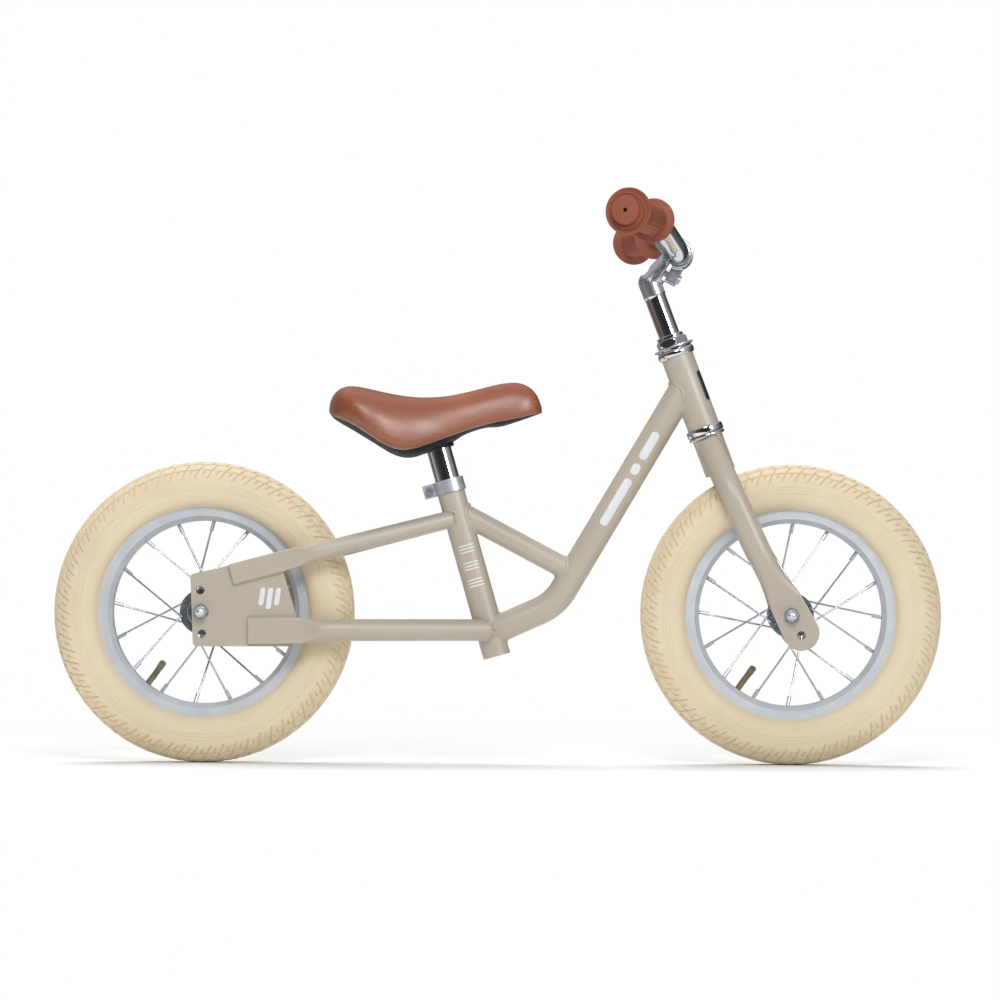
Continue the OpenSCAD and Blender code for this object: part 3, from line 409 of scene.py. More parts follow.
def tread_rows():
    """Half of the tyre's section from crown to bead: (angle, lowered by, A groove, B groove)."""
    d, rows = TREAD_DEPTH, [(0, 0, 1, 0), (4, 0, 1, 0), (7.5, 0, 1, 0)]
    rows += [(8.2, d, 0, 0), (10.8, d, 0, 0)]
    rows += [(a, 0, 0, 1) for a in (11.5, 16, 21, 24.5)]
    rows += [(25.3, d, 0, 0), (28.7, d, 0, 0)]
    rows += [(a, 0, 1, 0) for a in (29.5, 35, 41, 45)]
    rows += [(45.8, d * 0.8, 0, 0), (48.2, d * 0.8, 0, 0)]
    rows += [(a, 0, 1, 1) for a in (49, 54)]
    rows += [(58, 0, 1, 0.8), (62, 0, 1, 0), (66, 0, 0.9, 0), (69, 0.05, 0.4, 0),
             (TREAD_END, SIDE_INSET, 0, 0)]
    rows += [(a, SIDE_INSET, 0, 0) for a in (75, 78, 80.2)] + [(80.8, 0, 0, 0)]
    rows += [(a, SIDE_INSET, 0, 0) for a in (81.4, 84, 86.2)] + [(86.8, 0.05, 0, 0)]
    rows += [(a, SIDE_INSET, 0, 0) for a in (87.4, 91, 94.4)] + [(95, 0.05, 0, 0)]
    rows += [(a, SIDE_INSET, 0, 0) for a in (95.6, 98, 100.2)]
    rows += [(a, SIDE_INSET, -1, 0) for a in (101, 105, 109)]
    rows += [(a, SIDE_INSET, 0, 0) for a in (109.8, 116, 123, 130, 138, 147, 156, 165, 175)]
    return rows


def section_point(angle, cut):
    """Radius and offset of the tyre's skin: round to its widest, then an ellipse to the rim."""
    t = math.radians(abs(angle))
    r = TYRE_SECTION_R - cut
    if abs(angle) <= 90:
        return TYRE_MID_R + r * math.cos(t), math.copysign(r * math.sin(t), angle)
    down, half = TYRE_MID_R - RIM_EDGE[0], r - RIM_EDGE[1]
    return (TYRE_MID_R + down * math.cos(t),
            math.copysign(RIM_EDGE[1] + half * math.sin(t), angle))


def tyre(name, place, body, node):
    half = tread_rows()
    rows = [(-a, low, ga, gb) for a, low, ga, gb in reversed(half)] + half[1:]
    pitch = 360 / PITCHES
    # the section inside the casing, from bead to bead
    bead_in = [(107.6, 12), (105, 11.6), (101.6, 11.5), (101.4, 9.4), (106, 9.2)]
    inner = [(TYRE_MID_R + CASING_R * math.cos(math.radians(a)),
              CASING_R * math.sin(math.radians(a)))
             for a in (140, 110, 80, 50, 20, -20, -50, -80, -110, -140)]
    cols = [(i + share, ga, gb) for i in range(PITCHES) for share, ga, gb in COLUMNS]
    ring_rows = []
    for a, low, ga, gb in rows:
        slant = SLANT * min(abs(a), TREAD_END) / TREAD_END
        line = []
        for at, ca, cb in cols:
            theta = (at + slant) * pitch
            cut = max(low, TREAD_DEPTH * max(ga * ca, gb * cb)) if ga >= 0 else low
            if ga < 0 and any(s <= theta % 360 <= e for s, e in SIDE_BARS):
                cut = 0.05
            line.append((theta, *section_point(a, cut)))
        ring_rows.append(line)
    for r, y in bead_in + inner + [(r, -y) for r, y in reversed(bead_in)]:
        ring_rows.append([((at + SLANT) * pitch, r, y) for at, _, _ in cols])
    pts = [(r * math.cos(math.radians(t)), y, r * math.sin(math.radians(t)))
           for line in ring_rows for t, r, y in line]
    faces = grid(len(ring_rows), len(cols), closed_rows=True, closed_cols=True)
    o = piece(name, pts, faces, "cream_tyre", body, place, instead_of=[node], crease_angle=38)
    o.data.materials.append(MAT["tread_groove_shade"])
    # faces in the grooves take the darker cream, painted shade in the recesses
    to_wheel = np.linalg.inv(np.array(place))
    skin = TYRE_SECTION_R - TREAD_DEPTH * 0.55
    for p in o.data.polygons:
        c = (to_wheel @ np.array([*p.center, 1]))[:3] / MM
        up = math.hypot(c[0], c[2]) - TYRE_MID_R
        if TREAD_INNER_R < math.hypot(up, c[1]) < skin and up > TREAD_LOW:
            p.material_index = 1
    return o


tyre("front_tyre_tread", FRONT_WHEEL, "front_wheel", "front_tyre")
tyre("rear_tyre_tread", REAR_WHEEL, "rear_wheel", "rear_tyre")

# ------------------------------------------------------------------ grips

DASHES_ROUND, DASHES_ALONG = 22, 13
BODY_R, DASH_RISE = 15.0, 0.45


def grip(name, side, node):
    start = np.array([GRIP_START[0], side * GRIP_START[1], GRIP_START[2]])
    axis = np.array([GRIP_DIR[0], side * GRIP_DIR[1], GRIP_DIR[2]])
    profile = [(-1.8, BAR_R + 0.05), (-1.8, 20.6), (-1.3, 22), (0, 22.6), (1.3, 22), (1.8, 20.8),
               (2, 17), (2.8, 15.6), (4.4, BODY_R)]
    first = len(profile)
    step = (GRIP_L - 12) / DASHES_ALONG
    for k in range(DASHES_ALONG):
        d = 6 + k * step
        profile += [(d + 0.9, BODY_R), (d + 1.3, BODY_R), (d + step - 1.3, BODY_R),
                    (d + step - 0.9, BODY_R)]
    last = len(profile)
    end = GRIP_L
    profile += [(end - 3.6, BODY_R), (end - 2.6, 15.8), (end - 2.1, 17.2), (end - 2, 21.4),
                (end - 1.5, 23.1), (end, 23.5), (end + 1.5, 23.1), (end + 2, 22.3),
                (end + 1.2, 20.9), (end + 1.2, 18.6), (end + 1.6, 18), (end + 5.5, 17.9),
                (end + 5.9, 17.6), (end + 6, 17.2), (end + 5.2, 16.4), (end + 5.2, 14.6),
                (end + 5.6, 14.2), (end + 11.4, 14), (end + 11.9, 13.7), (end + 12, 13.2),
                (end + 12, 2.4), (end + 11.8, 2.1), (end + 3.4, 2.1), (end + 3.3, 0.02)]

    def dashes(i, j):
        if not first <= i < last:
            return 0
        return DASH_RISE if (i - first) % 4 in (1, 2) and j % 5 in (1, 2) else 0

    pts, faces = revolve(profile, start, axis, DASHES_ROUND * 5, dashes)
    return piece(name, pts, faces, "grip_rubber", "handlebar", STEERED, instead_of=[node],
                 crease_angle=32)


grip("grip_sleeve_left", 1, "grip_left")
grip("grip_sleeve_right", -1, "grip_right")

# ------------------------------------------------------------------ saddle

# seen from above: (x, half width); from the side: top line, lower edge and base underside
PLAN = [(127.3, 2), (129, 24), (133, 39), (139, 51), (148, 58.5), (160, 62.5), (172, 63),
        (185, 60.5), (202, 53.5), (225, 41.5), (250, 33), (280, 28), (310, 25.5),
        (328, 23), (340, 17.5), (345.5, 10), (347.6, 2)]
TOP = [(127.3, 366), (129, 374), (133, 381.5), (140, 387), (150, 389.4), (164, 387.4),
       (190, 381.6), (212, 378.3), (230, 377.8), (252, 379.6), (276, 385.2), (300, 391.8),
       (316, 394.4), (328, 393), (337, 388), (343.5, 380), (347.6, 368)]
EDGE = [(127.3, 363), (130, 358), (135, 355.4), (152, 348.4), (167.5, 338.4), (186, 326.6),
        (200, 321.4), (214, 322.4), (230, 328), (251, 336), (271.5, 343.8), (292.5, 350.4),
        (321, 355.7), (347.6, 362.8)]
# how far the base's middle hangs below the cover's edge
BELLY = [(128, 0), (134, 1.5), (152, 4.4), (178, 3), (200, 5), (214, 7.2), (232, 6.6),
         (251, 6.4), (259, 5), (267, 1.8), (292, 1.8), (302, 5), (321, 2.8), (346, 0.3)]
TUCK_SHARE = 0.8  # the cover's lower edge lies in from its widest line


def along(table, x):
    xs, ys = zip(*table)
    return float(np.interp(x, xs, ys))


def softened(table):
    """The same line with its corners rounded off."""
    for _ in range(3):
        new = [table[0]]
        for (x0, y0), (x1, y1) in zip(table, table[1:]):
            new += [(0.75 * x0 + 0.25 * x1, 0.75 * y0 + 0.25 * y1),
                    (0.25 * x0 + 0.75 * x1, 0.25 * y0 + 0.75 * y1)]
        table = new + [table[-1]]
    return table


def saddle_pad():
    plan, top, edge = softened(PLAN), softened(TOP), softened(EDGE)
    x0, x1 = PLAN[0][0], PLAN[-1][0]
    stations, over, under_steps = 90, 40, 7
    pts = []
    for i in range(stations + 1):
        x = (x0 + x1) / 2 - (x1 - x0) / 2 * math.cos(math.pi * i / stations)
        w, zt, zl = along(plan, x), along(top, x), along(edge, x)
        wide = max(0.0, min(1.0, (w - 28) / 30))
        square = 2.3 + 0.3 * wide
        tuck = min(6 + 6 * wide, 0.35 * (zt - zl))
        section = []
        for j in range(over + 1):
            t = math.radians(-90 + 180 * j / over)
            c, sn = math.cos(t), math.sin(t)
            section.append((w * math.copysign(abs(sn) ** (2 / square), sn),
                            zl + tuck + (zt - zl - tuck) * max(0, c) ** (2 / square)))
        side = []
        for k in range(1, under_steps + 1):
            q = math.radians(90 * k / under_steps)
            side.append((w * (1 - (1 - TUCK_SHARE) * (1 - math.cos(q))),
                         zl + tuck * (1 - math.sin(q))))
        edge_y = side[-1][0]
        flat = [(edge_y * (1 - 2 * k / 8), zl + 1.2) for k in range(1, 8)]
        section += side + flat + [(-y, z) for y, z in reversed(side)]
        pts += [(x, y, z) for y, z in section]
    cols = len(pts) // (stations + 1)
    faces = grid(stations + 1, cols, closed_cols=True)
    faces += [list(range(cols)), [stations * cols + k for k in range(cols)]]
    o = piece("saddle_cover", pts, faces, "saddle_leather", "saddle",
              instead_of=["saddle_pad"])
    return o


saddle_pad()


def saddle_base():
    plan, edge, belly = softened(PLAN), softened(EDGE), softened(BELLY)
    x0, x1, stations = 129.5, 345.5, 64
    pts, cols = [], 17
    for i in range(stations + 1):
        x = (x0 + x1) / 2 - (x1 - x0) / 2 * math.cos(math.pi * i / stations)
        w = along(plan, x) * TUCK_SHARE - 0.6
        z_edge = along(edge, x) + 0.2
        for j in range(cols):
            at = -1 + 2 * j / (cols - 1)
            pts.append((x, w * at, z_edge - along(belly, x) * (1 - at ** 4)))
        for j in range(1, cols - 1):
            pts.append((x, (w - 1.2) * (1 - 2 * j / (cols - 1)), z_edge + 2.2))
    ring_n = 2 * cols - 2
    faces = grid(stations + 1, ring_n, closed_cols=True)
    faces += [list(range(ring_n)), [stations * ring_n + k for k in range(ring_n)]]
    piece("saddle_shell", pts, faces, "black_plastic", "saddle", instead_of=["saddle_base"],
          crease_angle=40)
    # the socket round the post
    low, high = SEAT_TUBE_L + 33, SEAT_TUBE_L + 44
    profile = [(low, SOCKET_BORE_R), (low, 15.6), (low + 0.8, 16.4), (high, 16.8),
               (high, SOCKET_BORE_R)]
    pts, faces = revolve(profile, (0, 0, 0), (0, 0, 1), 48)
    piece("saddle_socket", pts, faces, "black_plastic", "saddle", SEAT, crease_angle=40)


saddle_base()

# ------------------------------------------------------------------ stays with pressed ends


def stay(name, side, node, tongue, pressed, tube, r, half_w, bend_r):
    """A stay: flat pressed end over the plate, then a round tube to the seat tube."""
    y = side * TONGUE_Y
    (ax, az), (bx, bz) = tongue
    stations = []
    for x, wide in ((ax, 0.93), (ax + 0.5, 0.99), (ax + 1.4, 1), ((ax + bx) / 2, 1), (bx, 1)):
        t = (x - ax) / (bx - ax)
        thick = TONGUE_HALF_T * (0.8 if x == ax else 1)
        stations.append(((x, y, az + (bz - az) * t), half_w * wide, thick, FLAT))
    run = filleted([(p[0], side * p[1], p[2]) for p in tube], bend_r, 6)
    first = np.array(run[0])
    for k in range(1, pressed + 1):
        t = k / (pressed + 1)
        c = np.array([bx, y, bz]) * (1 - t) + first * t
        stations.append((c, blend(half_w, r, t),
                         blend(TONGUE_HALF_T, r, t * t * 0.25 + t * 0.75),
                         blend(FLAT, ROUND, t ** 0.4)))
    for c in run:
        stations.append((c, r, r, ROUND))
    pts, faces = loft(stations)
    o = piece(name, pts, faces, "frame_paint", "frame", instead_of=[node])
    drill(o, [bore_cutter(SEAT, SEAT_BORE_R)])
    o.data.set_sharp_from_angle(angle=math.radians(42))
    return o


UPPER_STAY = [(118, 48.4, 216.8), (150, 43, 225.1), (254, 9.2, 252.2)]
LOWER_STAY = [(124, 46.7, 136.9), (152, 43.8, 137), (294, 13.7, 137.7)]
for side, tag in ((1, "left"), (-1, "right")):
    stay(f"upper_stay_tube_{tag}", side, f"upper_stay_{tag}", ((30.6, 193.4), (88, 208.8)), 7,
         UPPER_STAY, 8.75, 10.3, 120)
    stay(f"lower_stay_tube_{tag}", side, f"lower_stay_{tag}", ((48.2, 135.8), (96, 136.4)), 8,
         LOWER_STAY, 11.1, 13.3, 120)

# ------------------------------------------------------------------ fork blades

BLADE_Y = 44.2
BLADE_R = 12.7
FORK_END_Y = 45
TIP = (19.2, -232.4)
TIP_R = 18.6


def fork_blade(name, side, node):
    run = filleted([(-0.4, 10.5 * side, -20), (2.6, BLADE_Y * side, -70),
                    (7.4, BLADE_Y * side, -138)], 60, 5)
    stations = [(c, BLADE_R, BLADE_R, ROUND) for c in run]
    low = [(-146, 12.55, 12.3, 2), (-153, 12.4, 11.5, 2), (-160, 12.3, 10.4, 2),
           (-167, 12.6, 9.1, 2.05), (-174, 13.2, 7.7, 2.15), (-181, 14.2, 6.3, 2.3),
           (-187, 15.3, 5.2, 2.6), (-192, 16.3, 4.3, 3), (-196, 16.9, 3.5, 4),
           (-199, 17.1, TONGUE_HALF_T, FLAT), (-210, 17.6, TONGUE_HALF_T, FLAT),
           (-222, 18.2, TONGUE_HALF_T, FLAT)]
    for h, a, b, n in low:
        x = np.interp(-h, [138, 160, 197, 232.4], [7.4, 10.2, 15.3, 19.2])
        y = side * np.interp(-h, [138, 197], [BLADE_Y, FORK_END_Y])
        stations.append(((x, y, h), a, b, n))
    for t in (0, 15, 30, 45, 58, 70, 80, 87):
        s = TIP_R * math.sin(math.radians(t))
        stations.append(((TIP[0] + 0.11 * s, side * FORK_END_Y, TIP[1] - s),
                         TIP_R * math.cos(math.radians(t)), TONGUE_HALF_T, FLAT))
    pts, faces = loft(stations, 44)
    o = piece(name, pts, faces, "frame_paint", "fork", STEERED, instead_of=[node])
    drill(o, [hole_cutter(STEERED, FORK_RAKE, -AXLE_DROP, 4.5, 140),
              hole_cutter(STEERED, FORK_RAKE + 2.3, -AXLE_DROP - 22.3, 4.5, 140),
              bore_cutter(STEERED, STEERER_BORE_R)])
    o.data.set_sharp_from_angle(angle=math.radians(36))
    return o


fork_blade("blade_left", 1, "fork_blade_left")
fork_blade("blade_right", -1, "fork_blade_right")

# ------------------------------------------------------------------ weld beads

seat_axis = np.array([-math.sin(math.radians(SEAT_LEAN)), 0, math.cos(math.radians(SEAT_LEAN))])
head_axis = np.array([-math.sin(math.radians(HEAD_LEAN)), 0, math.cos(math.radians(HEAD_LEAN))])
down = [np.array(p, float) for p in DOWN_TUBE]

bead("weld_head", meeting_line(down[1], down[2] - down[1], DOWN_TUBE_R, HEAD_FOOT, head_axis,
                               HEAD_TUBE_R), "frame", closed=True, seed=2)
seat_welds = [bead("weld_down_seat", meeting_line(down[1], down[0] - down[1], DOWN_TUBE_R,
                                                  SEAT_FOOT, seat_axis, SEAT_TUBE_R),
                   "frame", closed=True, radius=2.3, seed=3)]
brace = [np.array(p, float) for p in BRACE]
seat_welds.append(bead("weld_brace_seat", meeting_line(brace[1], brace[0] - brace[1], BRACE_R,
                                                       SEAT_FOOT, seat_axis, SEAT_TUBE_R),
                       "frame", closed=True, seed=4))
bead("weld_brace_down", meeting_line(brace[0], brace[1] - brace[0], BRACE_R, down[1],
                                     down[2] - down[1], DOWN_TUBE_R), "frame", closed=True, seed=5)
for side, tag in ((1, "left"), (-1, "right")):
    for name, path, r, seed in (("upper", UPPER_STAY, 8.75, 6), ("lower", LOWER_STAY, 11.1, 8)):
        a, b = (np.array([p[0], side * p[1], p[2]], float) for p in path[1:])
        line = meeting_line(a, b - a, r, SEAT_FOOT, seat_axis, SEAT_TUBE_R)
        seat_welds.append(bead(f"weld_{name}_stay_{tag}", line, "frame", closed=len(line) > 70,
                               radius=2.1, seed=seed + side))
    # the pressed ends are welded to the plate along their edges
    y = side * (PLATE_OUT_Y + 0.9)
    bead(f"weld_lower_tongue_{tag}", [(48.6, y, 149.2), (96.5, y, 150.2)], "frame", radius=1.3,
         seed=11)
    bead(f"weld_lower_tongue_end_{tag}", [(48.2, y, 122.6), (48.0, y, 149.2)], "frame",
         radius=0.9, seed=12)
    bead(f"weld_upper_tongue_{tag}", [(33.4, y, 183.6), (86, y, 197.6)], "frame", radius=1.3,
         seed=13)
    bead(f"weld_upper_tongue_end_{tag}", [(28.2, y, 202.8), (33.2, y, 183.8)], "frame",
         radius=1.0, seed=14)
    top, low = (np.array(p, float) for p in ((-0.4, 10.5 * side, -20), (2.6, 44.2 * side, -70)))
    bead(f"weld_blade_{tag}", meeting_line(low, top - low, BLADE_R, (0, 0, 0), (0, 0, 1),
                                              STEERER_FOOT_R),
         "fork", radius=2.4, place=STEERED, closed=True, seed=15)

for weld in seat_welds:
    drill(weld, [bore_cutter(SEAT, SEAT_BORE_R)], crossing=True)

# ------------------------------------------------------------------ cast stem


SLEEVE_LOW = 145.4  # height on the steering axis where the forging ends and the quill shows


def softened_copy(name, node, mat, body, voxel, rounds):
    """The CAD node's own shape with its edges and inside corners rounded, as a forging has,
    on a bright quill."""
    src = nodes[node]
    bm = bmesh.new()
    bm.from_mesh(src.data)
    bmesh.ops.remove_doubles(bm, verts=bm.verts, dist=1e-6)
    mesh = bpy.data.meshes.new(name)
    bm.to_mesh(mesh)
    bm.free()
    o = bpy.data.objects.new(name, mesh)
    bpy.context.scene.collection.objects.link(o)
    remesh = o.modifiers.new("voxels", "REMESH")
    remesh.mode, remesh.voxel_size = "VOXEL", voxel * MM
    smooth = o.modifiers.new("soft", "SMOOTH")
    smooth.factor, smooth.iterations = 0.5, rounds
    bpy.context.view_layer.update()
    dg = bpy.context.evaluated_depsgraph_get()
    final = bpy.data.meshes.new_from_object(o.evaluated_get(dg))
    o.modifiers.clear()
    o.data = final
    final.materials.clear()
    final.materials.append(MAT[mat])
    final.materials.append(MAT["chrome"])
    to_steered = STEERED.inverted()
    for p in final.polygons:
        p.use_smooth = True
        p.material_index = int((to_steered @ p.center).z < SLEEVE_LOW * MM)
    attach(o, body)
    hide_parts(node)
    return o


softened_copy("stem_forging", "stem", "forged", "stem", 0.8, 4)

# ------------------------------------------------------------------ headset rings

RING_STEPS = 96


def turned(name, profile, mat, body, place, instead_of, wave=None):
    pts, faces = revolve(profile + [profile[0]], (0, 0, 0), (0, 0, 1), RING_STEPS, wave)
    return piece(name, pts, faces, mat, body, place, instead_of=instead_of, crease_angle=35)


HEAD_L = 78.2
turned("lower_cup_ring", [(0, 15), (0, 18.3), (-0.7, 19.1), (-2.2, 19.4), (-5.8, 19.4),
                          (-7, 19.0), (-7.4, 18.2), (-7.4, 17.5), (-3.1, 17), (-3.1, 15)],
       "chrome", "frame", HEAD, ["headset_cup_lower"])
turned("upper_cup_ring", [(HEAD_L, 15), (HEAD_L, 17.6), (HEAD_L + 0.8, 18.7),
                          (HEAD_L + 2.6, 19.35), (HEAD_L + 4.8, 19.4), (HEAD_L + 6.6, 18.9),
                          (HEAD_L + 7.4, 18), (HEAD_L + 7.4, 17.5), (HEAD_L + 3, 17.3),
                          (HEAD_L + 3, 15)],
       "chrome", "frame", HEAD, ["headset_cup_upper"])
turned("crown_ring", [(-11, STEERER_FIT_R), (-11, 18.3), (-10.7, 18.8), (-10.2, 19.1),
                      (-8.7, 19.1), (-8.2, 18.8), (-8, 18.2), (-8, 13.3), (-4, 13.3),
                      (-4, STEERER_FIT_R)],
       "chrome", "fork", STEERED, ["crown_race"])
turned("adjusting_ring", [(HEAD_L + 4, STEERER_FIT_R), (HEAD_L + 4, 13.2), (HEAD_L + 7.9, 13.2),
                          (HEAD_L + 8, 17.6), (HEAD_L + 8.3, 18.5), (HEAD_L + 9, 18.6),
                          (HEAD_L + 9.3, 18), (HEAD_L + 9.3, STEERER_FIT_R)],
       "chrome", "fork", STEERED, ["adjusting_race"])
turned("washer_plate", [(HEAD_L + 9.5, STEERER_FIT_R), (HEAD_L + 9.5, 20.5),
                        (HEAD_L + 9.8, 20.95), (HEAD_L + 11, 20.95), (HEAD_L + 11.3, 20.5),
                        (HEAD_L + 11.3, STEERER_FIT_R)],
       "plated_steel", "fork", STEERED, ["keyed_washer"])

NUT_LOW = HEAD_L + 11.4
NUT_FLAT = 14.9


def nut_profile():
    rows = [(0, STEERER_FIT_R), (0, 15.4), (0.6, 16.3), (1.4, 17), (4, 17), (6.6, 17),
            (7.4, 16.3), (8.1, 15.2), (8.2, 14.2), (8.6, 13.9), (11.4, 13.9), (12, 13.3), (12, 11.4),
            (7, 11.4), (5, STEERER_FIT_R)]
    return [(NUT_LOW + h, r) for h, r in rows]


def hexed(i, j):
    """Brings the nut's round body down to six flats."""
    rows = nut_profile()
    r = rows[i % len(rows)][1]
    if not 1 <= i <= 8:
        return 0
    a = (j / RING_STEPS * 360) % 60 - 30
    return min(0.0, NUT_FLAT / math.cos(math.radians(a)) - r)


turned("lock_nut_hex", nut_profile(), "chrome", "fork", STEERED, ["lock_nut"], hexed)

# ------------------------------------------------------------------ decals and badge


def wrapped(name, place, r, spans, mat, body, turn, width):
    """Flat marks laid round a tube: spans are (start, end) along the tube's axis in mm."""
    pts, faces = [], []
    for a, b in spans:
        steps, half = 10, width / 2
        for i in range(2):
            for j in range(steps + 1):
                s = -1 + 2 * j / steps
                inset = (1 - math.sqrt(max(0, 1 - s * s))) * min(3, (b - a) / 2)
                z = a + inset if i == 0 else b - inset
                t = math.radians(turn) + s * half / r
                pts.append((r * math.cos(t), r * math.sin(t), z))
        base = len(pts) - 2 * (steps + 1)
        for j in range(steps):
            faces.append((base + j, base + j + 1, base + steps + 2 + j, base + steps + 1 + j))
    return piece(name, pts, faces, mat, body, place)


down_dir = unit(down[2] - down[1])
down_frame = (Matrix.Translation(Vector(down[1]) * MM)
              @ Vector((0, 0, 1)).rotation_difference(Vector(down_dir)).to_matrix().to_4x4())
STRIPES = [(95, 150), (156, 168), (174, 206)]
for side, tag in ((-1, "right"), (1, "left")):
    wrapped(f"down_tube_stripes_{tag}", down_frame, DOWN_TUBE_R + 0.08, STRIPES, "decal", "frame",
            90 * side, 9)


# plain bands round the seat tube's sides and a plain mark on each plate
BANDS = [(111, 112.4), (114.4, 115.8), (117.8, 119.2), (93, 94.4), (96.4, 97.8),
         (99.8, 101.2), (75, 76.4), (78.4, 79.8), (81.8, 83.2)]
for side, tag in ((-1, "right"), (1, "left")):
    wrapped(f"seat_tube_bands_{tag}", SEAT, SEAT_TUBE_R + 0.08, BANDS, "decal", "frame",
            90 * side, 19)


def plate_mark(name, side):
    """Three flat bars with rounded ends, lying on the outside of the plate."""
    pts, faces = [], []
    y = side * (PLATE_OUT_Y + 0.08)
    for x, z0, z1 in ((60.5, 162, 180), (68.5, 158, 180), (76.5, 162, 180)):
        base, around, half = len(pts), 20, 2.6
        for k in range(around):
            t = 2 * math.pi * k / around
            z = (z1 - half if math.sin(t) > 0 else z0 + half) + half * math.sin(t)
            pts.append((x + 0.14 * (z - 160) + half * math.cos(t), y, z))
        faces.append([base + k for k in range(around)])
    piece(name, pts, faces, "decal", "frame")


plate_mark("plate_mark_right", -1)
plate_mark("plate_mark_left", 1)


def badge():
    """A narrow curved plate with rounded ends and a raised rim on each side of the head tube's
    front, its face crossed by fine slanting ribs."""
    h0, half_h, half_w, rows, cols = 41, 16, 3.4, 96, 14
    for azimuth, tag in ((-34, "right"), (34, "left")):
        pts = []
        for i in range(rows + 1):
            z = -half_h + 2 * half_h * i / rows
            past = max(0.0, abs(z) - (half_h - half_w))
            wide = math.sqrt(max(0.0, half_w ** 2 - past ** 2))
            for j in range(cols + 1):
                y = wide * (-1 + 2 * j / cols)
                edge = min(wide - abs(y), half_h - abs(z))
                rib = 0.3 if (z + 0.9 * y) % 2.6 < 1.3 else 0
                lift = 0.15 if edge < 0.12 else 0.95 if edge < 0.9 else 0.6 + rib
                turn = math.radians(azimuth) + y / HEAD_TUBE_R
                r = HEAD_TUBE_R + lift
                pts.append((r * math.cos(turn), r * math.sin(turn), h0 + z))
        piece(f"badge_plate_{tag}", pts, grid(rows + 1, cols + 1), "badge_black", "frame",
              HEAD, instead_of=["head_badge"] if tag == "right" else [])


badge()

# ------------------------------------------------------------------ finishes on the CAD nodes

slot_of = {s["node"]: s["material_slot"] for s in frame["record"]["subparts"]}
FINISH = {"seat_clamp_bolt": "nut_steel", "front_axle_nuts": "nut_steel",
          "rear_axle_nuts": "nut_steel", "front_hub": "hub_steel", "rear_hub": "hub_steel",
          "front_valve_cap": "valve_rubber", "rear_valve_cap": "valve_rubber"}
for name, node in nodes.items():
    node.data.materials.clear()
    node.data.materials.append(MAT[FINISH.get(name, slot_of[name])])
    if not node.hide_render:
        bevel = node.modifiers.new("edges", "BEVEL")
        bevel.width, bevel.segments, bevel.limit_method = 0.3 * MM, 2, "ANGLE"
        bevel.angle_limit = math.radians(50)

# ------------------------------------------------------------------ floor, light and camera


FLOOR_MIDDLE = (0.29, 0, 0)
FLOOR_FULL, FLOOR_GONE = 0.85, 1.25  # the floor fades away between these distances


def stage_material(name, colour, rough):
    """A matt pale surface that fades into the white surround away from the bike."""
    m = bpy.data.materials.new(name)
    m.use_nodes = True
    nt = m.node_tree
    add, link = nt.nodes.new, nt.links.new
    shader = nt.nodes["Principled BSDF"]
    noise = add("ShaderNodeTexNoise")
    noise.inputs["Scale"].default_value = 3
    ramp = add("ShaderNodeValToRGB")
    ramp.color_ramp.elements[0].color = tuple(c * 0.99 for c in colour[:3]) + (1,)
    ramp.color_ramp.elements[1].color = colour
    link(noise.outputs["Fac"], ramp.inputs["Fac"])
    link(ramp.outputs["Color"], shader.inputs["Base Color"])
    shader.inputs["Roughness"].default_value = rough
    shader.inputs["Specular IOR Level"].default_value = 0
    coords, away = add("ShaderNodeTexCoord"), add("ShaderNodeVectorMath")
    away.operation = "LENGTH"
    link(coords.outputs["Object"], away.inputs[0])
    fade = add("ShaderNodeMapRange")
    fade.inputs["From Min"].default_value = FLOOR_FULL
    fade.inputs["From Max"].default_value = FLOOR_GONE
    fade.inputs["To Min"].default_value = 1
    fade.inputs["To Max"].default_value = 0
    link(away.outputs["Value"], fade.inputs["Value"])
    link(fade.outputs["Result"], shader.inputs["Alpha"])
    return m


def studio_floor():
    """A pale floor round the bike."""
    bm = bmesh.new()
    bmesh.ops.create_grid(bm, x_segments=8, y_segments=8, size=FLOOR_GONE)
    mesh = bpy.data.meshes.new("studio_floor")
    bm.to_mesh(mesh)
    bm.free()
    o = bpy.data.objects.new("studio_floor", mesh)
    o.location = FLOOR_MIDDLE
    mesh.materials.append(stage_material("studio_white", (0.9, 0.9, 0.9, 1), 0.9))
    bpy.context.scene.collection.objects.link(o)


studio_floor()

# soft daylight from above and in front: a broad sun, two softboxes and an even sky
sun_data = bpy.data.lights.new("overhead", "SUN")
sun_data.energy, sun_data.angle = 2.1, math.radians(42)
sun = bpy.data.objects.new("overhead", sun_data)
sun.rotation_euler = Vector((0.12, -0.34, -1)).to_track_quat("-Z", "Y").to_euler()
sun.visible_glossy = False
bpy.context.scene.collection.objects.link(sun)


def area(name, at, aim, size, power):
    """A round softbox, never seen itself."""
    light = bpy.data.lights.new(name, "AREA")
    light.shape, light.size, light.energy = "DISK", size, power
    o = bpy.data.objects.new(name, light)
    o.location = at
    o.rotation_euler = (Vector(aim) - Vector(at)).to_track_quat("-Z", "Y").to_euler()
    o.visible_camera = False
    bpy.context.scene.collection.objects.link(o)
    return o


area("front_softbox", (0.35, -1.7, 1.35), (0.3, 0, 0.36), 0.9, 20)
sheen = area("sheen_softbox", (1.64, -1.6, 1.03), (0.3, 0, 0.36), 0.62, 25)
sheen.visible_diffuse = False

# what polished metal mirrors round the studio: (place round the horizon, brightness);
# a quarter is the camera's side, three quarters the side behind the bike
HORIZON = [(0.0, 0.16), (0.06, 0.22), (0.09, 0.07), (0.2, 0.03), (0.28, 0.04), (0.335, 0.07),
           (0.352, 0.9), (0.385, 1.0), (0.405, 0.6), (0.47, 0.35), (0.54, 0.14), (0.62, 0.05),
           (0.74, 0.06), (0.78, 0.32), (0.86, 0.26), (0.93, 0.12)]
AMBIENT = 0.38


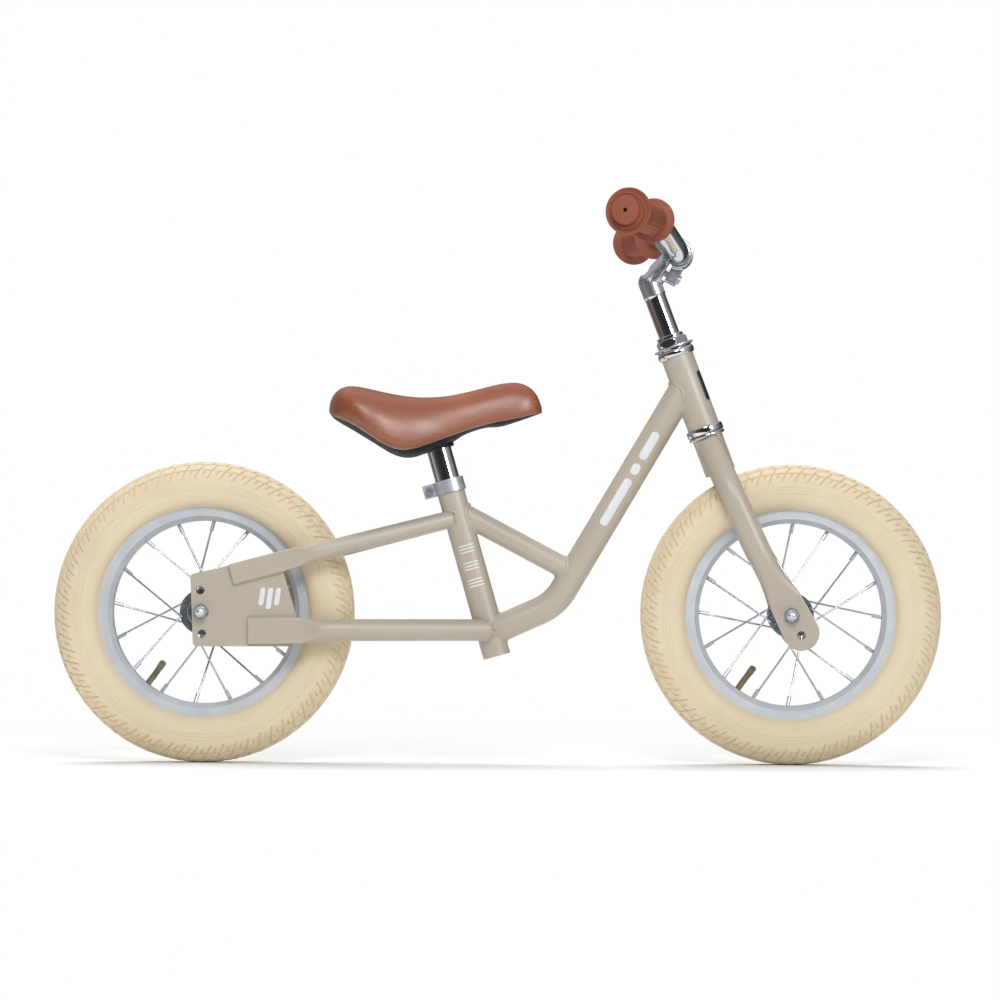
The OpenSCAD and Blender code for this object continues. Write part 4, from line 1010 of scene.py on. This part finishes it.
def studio_world():
    world = bpy.data.worlds.new("studio")
    world.use_nodes = True
    nt = world.node_tree
    add, link = nt.nodes.new, nt.links.new
    background, out = nt.nodes["Background"], nt.nodes["World Output"]
    coords, split = add("ShaderNodeTexCoord"), add("ShaderNodeSeparateXYZ")
    link(coords.outputs["Generated"], split.inputs["Vector"])
    angle = add("ShaderNodeMath")
    angle.operation = "ARCTAN2"
    link(split.outputs["Y"], angle.inputs[0])
    link(split.outputs["X"], angle.inputs[1])
    turn = add("ShaderNodeMapRange")
    turn.inputs["From Min"].default_value = -math.pi
    turn.inputs["From Max"].default_value = math.pi
    link(angle.outputs["Value"], turn.inputs["Value"])
    ramp = add("ShaderNodeValToRGB")
    stops = ramp.color_ramp.elements
    for k, (place, bright) in enumerate(HORIZON):
        stop = stops[k] if k < 2 else stops.new(place)
        stop.position, stop.color = place, (bright, bright, bright * 1.02, 1)
    link(turn.outputs["Result"], ramp.inputs["Fac"])
    height = add("ShaderNodeMapRange")
    height.inputs["From Min"].default_value = 0.45
    height.inputs["From Max"].default_value = 0.7
    link(split.outputs["Z"], height.inputs["Value"])
    sky = add("ShaderNodeMix")
    sky.data_type = "RGBA"
    sky.inputs["B"].default_value = (0.6, 0.6, 0.62, 1)
    link(height.outputs["Result"], sky.inputs["Factor"])
    link(ramp.outputs["Color"], sky.inputs["A"])
    path = add("ShaderNodeLightPath")
    seen = add("ShaderNodeMix")
    seen.data_type = "RGBA"
    seen.inputs["A"].default_value = (AMBIENT, AMBIENT, AMBIENT, 1)
    link(path.outputs["Is Glossy Ray"], seen.inputs["Factor"])
    link(sky.outputs["Result"], seen.inputs["B"])
    final = add("ShaderNodeMix")
    final.data_type = "RGBA"
    final.inputs["B"].default_value = (1, 1, 1, 1)
    link(path.outputs["Is Camera Ray"], final.inputs["Factor"])
    link(seen.outputs["Result"], final.inputs["A"])
    link(final.outputs["Result"], background.inputs["Color"])
    link(background.outputs["Background"], out.inputs["Surface"])
    bpy.context.scene.world = world


studio_world()
bpy.context.scene.view_settings.view_transform = "Standard"

# the camera stands far off on the rider's right, low and looking slightly up
YAW, PITCH, ROLL = -0.0051, 0.0330, -0.0051
CAMERA_AT = (286.98, -3481.07, 157.37)
LENS = 121.1
cam_data = bpy.data.cameras.new("camera")
cam_data.sensor_width, cam_data.lens = 36, LENS
camera = bpy.data.objects.new("camera", cam_data)
turn = (Matrix.Rotation(YAW, 3, "Z") @ Matrix.Rotation(math.pi / 2 + PITCH, 3, "X")
        @ Matrix.Rotation(-ROLL, 3, "Z"))
camera.matrix_world = Matrix.Translation(Vector(CAMERA_AT) * MM) @ turn.to_4x4()
bpy.context.scene.collection.objects.link(camera)
bpy.context.scene.camera = camera
